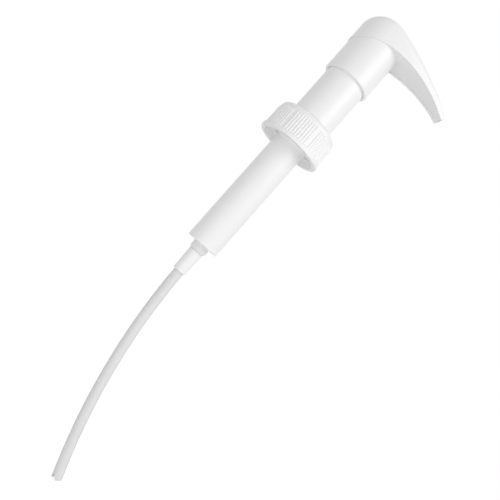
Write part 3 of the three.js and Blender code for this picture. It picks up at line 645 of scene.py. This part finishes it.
def sleeve():
    return turned(section(
        (SLEEVE_BORE_R, SLEEVE_BOTTOM, 0.2), (FLANGE_R, SLEEVE_BOTTOM, 0.2),
        (FLANGE_R, SLEEVE_FLANGE_TOP, 0.3), (SLEEVE_R, SLEEVE_FLANGE_TOP, 0.3),
        (SLEEVE_R, SLEEVE_TOP, 0.6), (SLEEVE_BORE_R, SLEEVE_TOP, 0.4),
        (SLEEVE_BORE_R, SNAP_Z + SNAP + SEAT, 0.1), (SLEEVE_BORE_R + SNAP, SNAP_Z + SEAT, 0.2),
        (SLEEVE_BORE_R + SNAP, SNAP_Z - SEAT, 0.2), (SLEEVE_BORE_R, SNAP_Z - SNAP - SEAT, 0.1),
    ), 160)


def connector():
    return turned(section(
        (PLUG_BORE_R, BARREL_BOTTOM - SEAT, 0.2), (SPIGOT_BORE_R - SEAT, BARREL_BOTTOM - SEAT, 0.3),
        (SPIGOT_BORE_R - SEAT, SPIGOT_BOTTOM - SEAT), (CONNECTOR_TOP_R, SPIGOT_BOTTOM - SEAT, 0.25),
        (CONNECTOR_R, CONNECTOR_BOTTOM, 0.45), (TUBE_R + SEAT, CONNECTOR_BOTTOM, 0.2),
        (TUBE_R + SEAT, TUBE_TOP + SEAT, 0.2), (PLUG_BORE_R, TUBE_TOP + SEAT, 0.2),
    ), 96)


def tube_place(run):
    """Middle of the dip tube and its direction, this far down from its top."""
    turn = max(0.0, run - TUBE_STRAIGHT) / TUBE_BEND_R
    x = TUBE_BEND_R * (1 - math.cos(turn))
    z = TUBE_TOP - min(run, TUBE_STRAIGHT) - TUBE_BEND_R * math.sin(turn)
    return Vector((x, 0, z)), turn


def dip_tube():
    """Hollow tube. At its foot both walls stop short where the V notch crosses them."""
    sides, steps, end_steps, end_run = 72, 64, 8, 10.0
    even = TUBE_LENGTH - end_run

    def runs_down(turn, radius):
        off = abs(radius * math.sin(turn - NOTCH_TURN))
        short = NOTCH_DEPTH * max(0.0, 1 - off / NOTCH_HALF_WIDTH)
        runs = [even * j / steps for j in range(steps)]
        return runs + [even + (end_run - short) * j / end_steps for j in range(end_steps + 1)]

    points = []
    for k in range(sides):
        turn = TURN * k / sides
        for radius, order in ((TUBE_R, 1), (TUBE_BORE_R, -1)):
            for run in runs_down(turn, radius)[::order]:
                middle, lean = tube_place(run)
                out = radius * math.cos(turn)
                points.append((middle.x + out * math.cos(lean), radius * math.sin(turn),
                               middle.z + out * math.sin(lean)))
    return points, ring_faces(sides, len(points) // sides)


# Head: its outline from above, its long curves, and the shell made from them
def curve_table(*corners, inset=0.0):
    """A curve drawn by its four control points and moved in by an inset: places, and inward directions."""
    a, b, c, d = (Vector(corner) for corner in corners)
    steps, past_end = 240, 8
    places, inward = [], []
    for k in range(steps + 1):
        t = k / steps
        place = (1 - t) ** 3 * a + 3 * t * (1 - t) ** 2 * b + 3 * t * t * (1 - t) * c + t ** 3 * d
        along = ((1 - t) ** 2 * (b - a) + 2 * t * (1 - t) * (c - b) + t * t * (d - c)).normalized()
        side = Vector((along.y, -along.x))
        places.append(place + inset * side)
        inward.append(side)
    places.append(places[-1] + past_end * along)
    inward.append(inward[-1])
    return np.array(places), np.array(inward)


def outline_table(inset):
    """Half of the head's outline from above, past the axis."""
    return curve_table((0, COVER_R), (19.5, COVER_R), (37, 15.3), (BEAK_REACH, 6.3), inset=inset)


def side_at(table, x):
    """Half width of an outline at a place along the beak, and the inward direction there."""
    places, inward = table
    half, *direction = (float(np.interp(x, places[:, 0], values)) for values in (places[:, 1], *inward.T))
    return half, Vector(direction).normalized()


def arc_radius(run, drop):
    return (run ** 2 + drop ** 2) / (2 * drop)


TOP_CURVE = curve_table((0, COVER_TOP), (14, COVER_TOP), (58, 95.6), TIP_TOP)[0]
UNDER_R = arc_radius(TIP_LOW[0] - CREST[0], CREST[1] - TIP_LOW[1])
TIP_SLOPE = (TIP_TOP[0] - TIP_LOW[0]) / (TIP_TOP[1] - TIP_LOW[1])


def top_height(x):
    return float(np.interp(x, TOP_CURVE[:, 0], TOP_CURVE[:, 1]))


def under_height(x):
    """Height of the cover's lower edge: one long arc from the back of the head to the beak's tip."""
    return CREST[1] - UNDER_R + math.sqrt(UNDER_R ** 2 - (x - CREST[0]) ** 2)


class HeadForm:
    """The head's outer form, drawn in all round by an inset."""

    def __init__(self, inset):
        self.inset = inset
        self.table = outline_table(inset)

    def base(self, x, turn=None):
        """Point of the outline and its inward direction, at a place along the beak or a turn of the back."""
        if turn is not None:
            direction = Vector((math.cos(turn), math.sin(turn)))
            return direction * (COVER_R - self.inset), -direction
        half, inward = side_at(self.table, x)
        return Vector((x, half)), inward

    def round_at(self, x):
        """Rounding between the side and the top: widest at the back, and small at the tip."""
        return float(np.interp(x, ROUND_PLACES, ROUNDINGS)) - min(self.inset, 1.2)

    def shoulder(self, base, inward, turn):
        radius = self.round_at(base.x)
        place = base + inward * radius * (1 - math.cos(turn))
        return Vector((place.x, place.y, top_height(base.x) - self.inset - radius * (1 - math.sin(turn))))

    def wall_top(self, base):
        return top_height(base.x) - self.inset - self.round_at(base.x)

    def crown(self, edge, across):
        height = edge.z + COVER_CROWN * (1 - across ** 2) * (edge.y / COVER_R)
        return Vector((edge.x, edge.y * across, height))


def sheet_column(form, turn, x, tip, low):
    """One half section of the shell's outer or inner sheet, from the middle of the top down to its lower
    edge, which stands by low above the seam. Near the tip, tip says how far the column leans back to follow
    the tip's sloping cut."""
    def leaned(make):
        if turn is not None or tip == 0:
            return make(x)
        at = x
        for _ in range(12):
            point = make(at)
            at += x - tip * TIP_SLOPE * (TIP_TOP[1] - point.z) - point.x
        return make(at)

    def shoulder_point(angle):
        return leaned(lambda at: form.shoulder(*form.base(at, turn), angle))

    def wall_point(share):
        def make(at):
            base = form.base(at, turn)[0]
            return Vector((base.x, base.y, lerp(form.wall_top(base), under_height(base.x) + low, share)))
        return leaned(make)

    def crown_point(across):
        return leaned(lambda at: form.crown(form.shoulder(*form.base(at, turn), math.pi / 2), across))

    crown = [crown_point(k / CROWN_STEPS) for k in range(CROWN_STEPS)]
    shoulder = [shoulder_point(math.pi / 2 * (1 - k / SHOULDER_STEPS)) for k in range(SHOULDER_STEPS)]
    shares = [0] + [0.02 + 0.96 * k / (WALL_STEPS - 2) for k in range(WALL_STEPS - 1)] + [1]
    return crown + shoulder + [wall_point(s) for s in shares]


def head_cover():
    """Shell over the head and the beak's back and sides, with rounded lower edges and a sloping open tip."""
    bevel, back_count, flank_count = 0.08, 44, 96
    outer, inner = HeadForm(0), HeadForm(COVER_WALL)
    outer_lip, inner_lip = HeadForm(bevel), HeadForm(COVER_WALL - bevel)
    outer_foot, inner_foot = HeadForm(COVER_LIP), HeadForm(COVER_WALL - COVER_LIP)
    places = [(math.pi * (1 - k / (2 * back_count)), 0.0, 0.0) for k in range(back_count)]
    for k in range(flank_count + 1):
        x = BEAK_REACH * (k / flank_count) ** 0.93
        places.append((None, x, smoothstep((x - TIP_BLEND) / (BEAK_REACH - TIP_BLEND))))
    columns = []
    for turn, x, tip in places:
        out = sheet_column(outer, turn, x, tip, COVER_LIP)
        into = sheet_column(inner, turn, x, tip, COVER_LIP)
        rim = [sheet_column(form, turn, x, tip, bevel)[-1] for form in (outer_lip, inner_lip)]
        foot = [sheet_column(form, turn, x, tip, 0.0)[-1] for form in (outer_foot, inner_foot)]
        columns.append(out + [rim[0], foot[0], foot[1], rim[1]] + into[::-1])
    rows = len(columns[0])
    points, faces = [], []
    for sign in (1, -1):
        start = len(points)
        points += [(p.x, sign * p.y, p.z) for column in columns for p in column]
        for a in range(len(columns) - 1):
            for j in range(rows - 1):
                near = start + a * rows + j
                faces.append((near, near + rows, near + rows + 1, near + 1))
        end = start + (len(columns) - 1) * rows
        for j in range(rows // 2 - 1):
            faces.append((end + j, end + j + 1, end + rows - 2 - j, end + rows - 1 - j))
    return points, faces


def head_body():
    """Skirt, ceiling and boss in one turned body, whose top is let into the cover, and two corners beside
    the skirt that close the beak's underside."""
    plug = HeadForm(COVER_WALL + SEAT)
    sides = 192
    points = []
    for k in range(sides):
        turn = TURN * k / sides
        outer = plug_radius(plug, turn)
        seam = under_height(SKIRT_R * math.cos(turn)) - SEAM_GAP
        outline = section(
            (SKIRT_BORE_R, SKIRT_RIM, 0.35), (SKIRT_R, SKIRT_RIM, 0.55), (SKIRT_R, seam, 0),
            (outer - 0.001, seam + 0.001, 0), (outer - 0.002, PLATE_TOP, 0), (STEM_HOLE_R, PLATE_TOP, 0),
            (STEM_HOLE_R, BOSS_BOTTOM, 0.2), (BOSS_R, BOSS_BOTTOM, 0.5), (BOSS_R, CEILING, 0.5),
            (SKIRT_BORE_R, CEILING, 0.8),
        )
        points += [(r * math.cos(turn), r * math.sin(turn), z) for r, z in outline]
    body = points, ring_faces(sides, len(points) // sides)
    return joined(body, *[corner_piece(plug, sign) for sign in (1, -1)])


def plug_radius(form, turn):
    """Radius of the body's upper part: inside the cover's wall, and as wide as the skirt under the beak."""
    turn = abs((turn + math.pi) % TURN - math.pi)
    if turn >= math.pi / 2:
        return COVER_R - form.inset
    reach = COVER_R - form.inset
    while reach < SKIRT_R and side_at(form.table, reach * math.cos(turn))[0] > reach * math.sin(turn):
        reach += 0.02
    return min(reach, SKIRT_R)


def corner_piece(form, sign):
    """Corner of the beak's underside, between the skirt and the channel's floor."""
    def skirt_side(x):
        return math.sqrt(max(0.0, SKIRT_R ** 2 - x ** 2))

    steps, overlap = 24, 0.25
    first = next(k / 10 for k in range(200) if side_at(form.table, k / 10)[0] > skirt_side(k / 10))
    rings = []
    for k in range(steps + 1):
        x = lerp(first, SKIRT_R, k / steps)
        far = side_at(form.table, x)[0]
        near = min(far - 0.01, skirt_side(x) - overlap)
        low = under_height(x) + SEAT
        outline = ((near, low), (far, low), (far, PLATE_TOP), (near, PLATE_TOP))
        rings.append([(x, sign * y, z) for y, z in outline])
    return lofted(rings)


def spout_channel():
    """Floor of the beak's underside with the trough on it, and the cup round the stem's top."""
    form = HeadForm(COVER_WALL + SEAT)
    half, inner = TROUGH_HALF, TROUGH_HALF - TROUGH_WALL
    bevel, start, cup_start, overlap = 0.25, SKIRT_R + SEAM_GAP, 3.0, 0.4
    floor, cup_bottom, cup_top = PLATE_TOP + SEAT, PLATE_TOP + SEAT - 1.7, 104.2

    def trough(x, low, wide):
        high = top_height(x) - COVER_WALL - SEAT
        top = low + FLOOR_THICKNESS
        right = [(wide - bevel, low), (wide, low + bevel), (wide, top), (half, top), (half, high),
                 (inner, high), (inner, top)]
        return [(x, y, z) for y, z in right] + [(x, -y, z) for y, z in reversed(right)]

    def places(first, last, steps):
        return [lerp(first, last, k / steps) for k in range(steps + 1)]

    beak = lofted([trough(x, under_height(x) + FLOOR_RECESS, side_at(form.table, x)[0])
                   for x in places(start, CHANNEL_END, 72)])
    head = lofted([trough(x, floor, half + 0.3) for x in places(cup_start, start + overlap, 8)])
    cup = turned(section(
        (STEM_BORE_R, cup_bottom, 0.1), (STEM_R, cup_bottom, 0.3), (STEM_R, floor), (half, floor + 0.01),
        (half, cup_top, 0.2), (inner, cup_top, 0.2), (inner, floor + FLOOR_THICKNESS, 0.2),
        (STEM_BORE_R, floor + FLOOR_THICKNESS, 0.2),
    ), 64)
    return joined(beak, head, cup)


# Inner pieces
def stem():
    """Hollow rod with a collar over the piston, and three ribs inside that stop the outlet ball."""
    collar_low, collar_high = STEM_COLLAR
    tube = turned(section(
        (STEM_BORE_R, STEM_BOTTOM, 0.2), (STEM_R, STEM_BOTTOM, 0.3), (STEM_R, collar_low),
        (FOOT_R, collar_low, 0.2), (FOOT_R, collar_high, 0.3), (STEM_R, collar_high, 0.2),
        (STEM_R, STEM_TOP, 0.5), (STEM_BORE_R, STEM_TOP, 0.2),
    ), 72)
    rib_low = OUTLET_BALL_Z + OUTLET_BALL_R + VALVE_LIFT + SEAT
    rib = block((STEM_BORE_R - 1.5, -0.5, rib_low), (STEM_BORE_R + 0.8, 0.5, rib_low + 9))
    return joined(tube, *[swung(rib, 120 * k) for k in range(3)])


def stem_guide():
    low, plate, top = -6.0, COLLAR_TOP + SEAT, 12.3
    outer, rim, cup, wall = BORE_R - SEAT, COLLAR_R - SEAT, 8.5, 1.3
    return turned(section(
        (STEM_HOLE_R, low, 0.2), (STEM_HOLE_R + wall, low, 0.2), (STEM_HOLE_R + wall, plate, 0.3),
        (outer - wall, plate, 0.3), (outer - wall, low, 0.2), (outer, low, 0.3), (outer, SNAP_Z - SNAP, 0.1),
        (outer + SNAP, SNAP_Z, 0.2), (outer, SNAP_Z + SNAP, 0.1), (outer, plate, 0.2), (rim, plate, 0.2),
        (rim, top, 0.4), (cup + wall, top, 0.2), (cup + wall, top + 2, 0.3), (cup, top + 2, 0.3),
        (cup, top, 0.1), (STEM_HOLE_R, top, 0.2),
    ), 96)


def stem_seal():
    outer, top, lip_top = 8.2, SEAL_BOTTOM + 1.7, SEAL_BOTTOM + 2.2
    return turned(section(
        (STEM_HOLE_R, SEAL_BOTTOM, 0.2), (outer, SEAL_BOTTOM, 0.2), (outer, top, 0.2), (7.0, top, 0.3),
        (STEM_HOLE_R + 0.5, lip_top, 0.2), (STEM_HOLE_R, lip_top, 0.1),
    ), 72)


def piston_seal():
    lip, low, high, middle = BORE_R - 0.25, -18.2, -8.6, -13.4
    hub, relief, web = 7.5, lip - 0.5, 1.2
    return turned(section(
        (STEM_HOLE_R, low, 0.2), (hub, low, 0.2), (hub, middle - web, 0.5), (relief - 1, middle - web, 0.4),
        (lip - 1, low + 0.5, 0.3), (lip, low + 0.5, 0.3), (lip, low + 1.5, 0.3), (relief, middle - web, 0.3),
        (relief, middle + web, 0.3), (lip, high - 1.5, 0.3), (lip, high - 0.5, 0.3),
        (lip - 1, high - 0.5, 0.3), (relief - 1, middle + web, 0.4), (hub, middle + web, 0.5),
        (hub, high, 0.2), (STEM_HOLE_R, high, 0.2),
    ), 96)


def piston_foot():
    low, top, chamber, flange = -31.5, -18.5, OUTLET_BALL_R + 0.7, 10.2
    return turned(section(
        (chamber, low, 0.2), (FOOT_R, low, 0.5), (FOOT_R, SPRING_TOP, 0.4), (flange, SPRING_TOP, 0.3),
        (flange, top, 0.3), (STEM_HOLE_R, top, 0.2), (STEM_HOLE_R, SOCKET_FLOOR, 0.1),
        (chamber, SOCKET_FLOOR, 0.2), (chamber, OUTLET_SEAT + 1.4, 0.3), (OUTLET_HOLE_R, OUTLET_SEAT, 0.2),
        (OUTLET_HOLE_R, OUTLET_SEAT - 1.0, 0.2),
    ), 72)


def inlet_cage_mesh():
    roof = INLET_BALL_Z + INLET_BALL_R + VALVE_LIFT + SEAT
    seat = FLOOR_TOP + 9.0
    inner, outer, rim, wall = 4.7, 6.1, BORE_R - SEAT, 1.4
    body = turned(section(
        (inner, FLOOR_TOP + SEAT, 0.1), (outer, FLOOR_TOP + SEAT, 0.3), (outer, seat - 1.6, 0.4),
        (rim, seat - 1.6, 0.3), (rim, seat + 1.2, 0.2), (rim - 0.5, seat + 1.2, 0.2), (rim - 0.5, seat, 0.2),
        (outer, seat, 0.3), (outer, roof + wall, 0.5), (inner / 2, roof + wall, 0.3), (inner / 2, roof, 0.2),
        (inner, roof, 0.3),
    ), 72)
    cutters = []
    for k in range(3):
        cutters.append(swung(block((0, -1.6, FLOOR_TOP - 1), (BORE_R, 1.6, seat - 3.0)), 120 * k))
        cutters.append(swung(block((outer + 0.5, -1.6, seat - 3.0), (rim - wall, 1.6, roof)), 120 * k + 60))
    return cut_away(mesh_of("inlet_cage", body), *cutters)


def valve_ball(radius, height):
    """A ground ball, turned from a half circle that ends on the axis."""
    turns = [math.pi * k / 32 for k in range(33)]
    half = [(radius * math.sin(t), height - radius * math.cos(t)) for t in turns]
    half[0], half[-1] = (0.0, height - radius), (0.0, height + radius)
    return turned(half, 64)


def gasket():
    inner, outer, top = BARREL_R + SEAT, INSIDE_R - 0.6, 1.8
    return turned(section((inner, 0, 0.3), (outer, 0, 0.3), (outer, top, 0.3), (inner, top, 0.3)), 128)


def build_closure(finishes):
    white, outside, inside = "white_plastic", finishes["closure"], finishes["closure_inside_painted_light"]
    shell = piece("closure_shell", closure_shell(), outside, "closure", white, ["closure"])
    # Painted light: the inner wall gets a lighter finish against the shade in the closure's hollow.
    coat(shell, inside, INSIDE_R + 0.2, CLOSURE_BOTTOM + 0.2, PLATE_UNDER + 0.1)
    # Painted shade: the closure's underside gets the grey finish for the little light that falls on it from
    # below.
    coat(shell, finishes["spigot"], BEAD_R, CLOSURE_BOTTOM - 0.1, CLOSURE_BOTTOM + 0.22)
    ribs = rib_tree().grown("closure_ribs", mesh_of("rib", grip_rib()), {
        "Material": outside, "Groups": RIB_GROUPS, "Ribs per group": RIBS_PER_GROUP, "Start": RIB_START,
    }, 50)
    piece("closure_ribs", ribs, outside, "closure", white)


def build_windings(finishes):
    """The closure's thread and the return spring, from one tree."""
    helix = helix_tree()
    # The thread takes the inner wall's lighter finish, painted light against the hollow's shade.
    thread = helix.grown("closure_thread", bpy.data.meshes.new("seed"), {
        "Material": finishes["closure_inside_painted_light"], "Turns": 2.2, "Radius": (INSIDE_R + 0.25) * MM,
        "Low": THREAD_LOW * MM, "High": THREAD_HIGH * MM, "Closed rise": 0.004, "Sink": 0.0012, "Fade": 0.18,
        "Half width": 0.00125, "Half height": 0.0011, "Steps per turn": 72.0, "Sides": 14,
    })
    piece("closure_thread", thread, finishes["closure_inside_painted_light"], "closure", "white_plastic")
    spring = helix.grown("return_spring", bpy.data.meshes.new("seed"), {
        "Material": finishes["steel"], "Turns": float(SPRING_TURNS), "Radius": SPRING_R * MM,
        "Low": (SPRING_BOTTOM + WIRE_R) * MM, "High": (SPRING_TOP - WIRE_R - SEAT) * MM,
        "Closed rise": (2 * WIRE_R + 0.6) * MM, "Sink": 0.0, "Fade": 0.1, "Half width": WIRE_R * MM,
        "Half height": WIRE_R * MM, "Steps per turn": 48.0, "Sides": 14,
    }, 50)
    coil = piece("return_spring_coil", spring, finishes["steel"], "housing", "steel", ["return_spring"])
    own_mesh(coil)


def build_pump(finishes):
    white, soft = "white_plastic", "seal_plastic"
    build_closure(finishes)
    build_windings(finishes)
    barrel = piece("barrel_body", barrel_mesh(), finishes["barrel"], "housing", white, ["barrel"])
    # Painted light: the barrel's stretch inside the closure is painted lighter, like the closure's inner
    # wall.
    coat(barrel, finishes["closure_inside_painted_light"], FLANGE_R + 1, -15.0, 3.0)
    # Painted shade: the spigot is painted grey for the shade under the barrel's end.
    coat(barrel, finishes["spigot"], SPIGOT_R + 1, SPIGOT_BOTTOM - 1, BARREL_BOTTOM - 0.2)
    inlet_ball = valve_ball(INLET_BALL_R, INLET_BALL_Z)
    outlet_ball = valve_ball(OUTLET_BALL_R, OUTLET_BALL_Z)
    for name, shape, look, body, slot, node in (
        ("sleeve_tube", sleeve(), "barrel", "housing", white, "guide_sleeve"),
        ("connector_socket", connector(), "barrel", "housing", white, "tube_connector"),
        ("dip_tube_bent", dip_tube(), "tube", "housing", "tube_plastic", "dip_tube"),
        ("gasket_ring", gasket(), "foam", "housing", "gasket_foam", "gasket"),
        ("stem_guide_ring", stem_guide(), "barrel", "housing", white, "stem_guide"),
        ("stem_wiper", stem_seal(), "seal", "housing", soft, "stem_seal"),
        ("inlet_valve_cage", inlet_cage_mesh(), "seal", "housing", soft, "inlet_cage"),
        ("inlet_valve_ball", inlet_ball, "steel", "inlet_ball", "steel", "inlet_ball"),
        ("piston_lips", piston_seal(), "seal", "piston", soft, "piston_seal"),
        ("piston_foot_seat", piston_foot(), "barrel", "head", white, "piston_foot"),
        ("outlet_valve_ball", outlet_ball, "steel", "outlet_ball", "steel", "outlet_ball"),
        ("stem_rod", stem(), "barrel", "head", white, "stem"),
        ("head_skirt", head_body(), "head", "head", white, "head_body"),
        # The channel finish is painted shade: the beak's underside is painted darker than the head.
        ("beak_channel", spout_channel(), "channel", "head", white, "spout_channel"),
        ("head_shell", head_cover(), "head", "head", white, "head_cover"),
    ):
        piece(name, shape, finishes[look], body, slot, [node])


# Floor, lights and camera
def seen_by_viewer(tree):
    """1 for what the camera sees, straight, in a gloss or through a clear piece, and 0 for the light."""
    path = tree.nodes.new("ShaderNodeLightPath").outputs
    seen = path["Is Camera Ray"]
    for other in ("Is Glossy Ray", "Is Transmission Ray"):
        seen = add_node(tree, "ShaderNodeMath", {0: seen, 1: path[other]}, operation="MAXIMUM").outputs[0]
    return seen


def make_world():
    """White where it is seen, and weaker where it lights the pump."""
    world = bpy.data.worlds.new("studio")
    world.use_nodes = True
    bpy.context.scene.world = world
    background = world.node_tree.nodes["Background"]
    background.inputs["Color"].default_value = (1, 1, 1, 1)
    tree = world.node_tree
    strength = add_node(tree, "ShaderNodeMapRange", {
        "Value": seen_by_viewer(tree), "To Min": WORLD_LIGHT, "To Max": 1.0,
    })
    tree.links.new(strength.outputs[0], background.inputs["Strength"])


def make_floor():
    """Pale floor that takes the pump's shadow, with a glow that only the viewer sees."""
    mesh = bpy.data.meshes.new("floor")
    square = ((-1, -1), (1, -1), (1, 1), (-1, 1))
    corners = [(x * FLOOR_HALF, y * FLOOR_HALF, FLOOR_Z * MM) for x, y in square]
    mesh.from_pydata(corners, [], [(0, 1, 2, 3)])
    material = bpy.data.materials.new("pale floor")
    material.use_nodes = True
    tree = material.node_tree
    tree.nodes.clear()
    diffuse = add_node(tree, "ShaderNodeBsdfDiffuse", {"Color": (0.86, 0.86, 0.86, 1)})
    lift = add_node(tree, "ShaderNodeMath", {0: seen_by_viewer(tree), 1: FLOOR_GLOW}, operation="MULTIPLY")
    glow = add_node(tree, "ShaderNodeEmission", {"Color": (1, 1, 1, 1), "Strength": lift.outputs[0]})
    both = add_node(tree, "ShaderNodeAddShader", {0: diffuse.outputs[0], 1: glow.outputs[0]})
    add_node(tree, "ShaderNodeOutputMaterial", {"Surface": both.outputs[0]})
    floor = bpy.data.objects.new("floor", mesh)
    bpy.context.scene.collection.objects.link(floor)
    mesh.materials.append(material)


def add_lamp(name, place, aim, size, watts):
    """A soft lamp. Place, aim and size are in metres."""
    lamp = bpy.data.lights.new(name, "AREA")
    lamp.shape = "RECTANGLE"
    lamp.size, lamp.size_y = size
    lamp.energy = watts
    obj = bpy.data.objects.new(name, lamp)
    bpy.context.scene.collection.objects.link(obj)
    obj.location = place
    obj.rotation_euler = (Vector(aim) - Vector(place)).to_track_quat("-Z", "Y").to_euler()


def make_camera():
    """At the photo's angle, in metres: the pump stands upright and the rolled camera makes it lean."""
    eye, aim = Vector((-0.00054, -0.44516, -0.12654)), Vector((0.02974, 0, -0.09439))
    roll = math.radians(41.25)
    forward = (aim - eye).normalized()
    side = forward.cross(Vector((0, 0, 1))).normalized()
    up = side.cross(forward)
    right = side * math.cos(roll) + up * math.sin(roll)
    top = up * math.cos(roll) - side * math.sin(roll)
    camera = bpy.data.cameras.new("camera")
    camera.lens = 42.48
    camera.sensor_width = 36
    obj = bpy.data.objects.new("camera", camera)
    bpy.context.scene.collection.objects.link(obj)
    turn = Matrix((right, top, -forward)).transposed()
    obj.matrix_world = Matrix.Translation(eye) @ turn.to_4x4()
    bpy.context.scene.camera = obj


make_camera()
build_pump(make_finishes())
make_world()
make_floor()
add_lamp("key", (0.8, -0.68, 0.6), (0.0, 0.0, -0.03), (0.8, 0.8), 4.65)
add_lamp("low strip", (0.0, -0.75, -0.285), (0.0, 0.0, -0.05), (0.9, 0.05), 1.2)
bpy.context.scene.view_settings.view_transform = "Standard"
bpy.context.scene.cycles.diffuse_bounces = 12
bpy.context.scene.cycles.max_bounces = 16
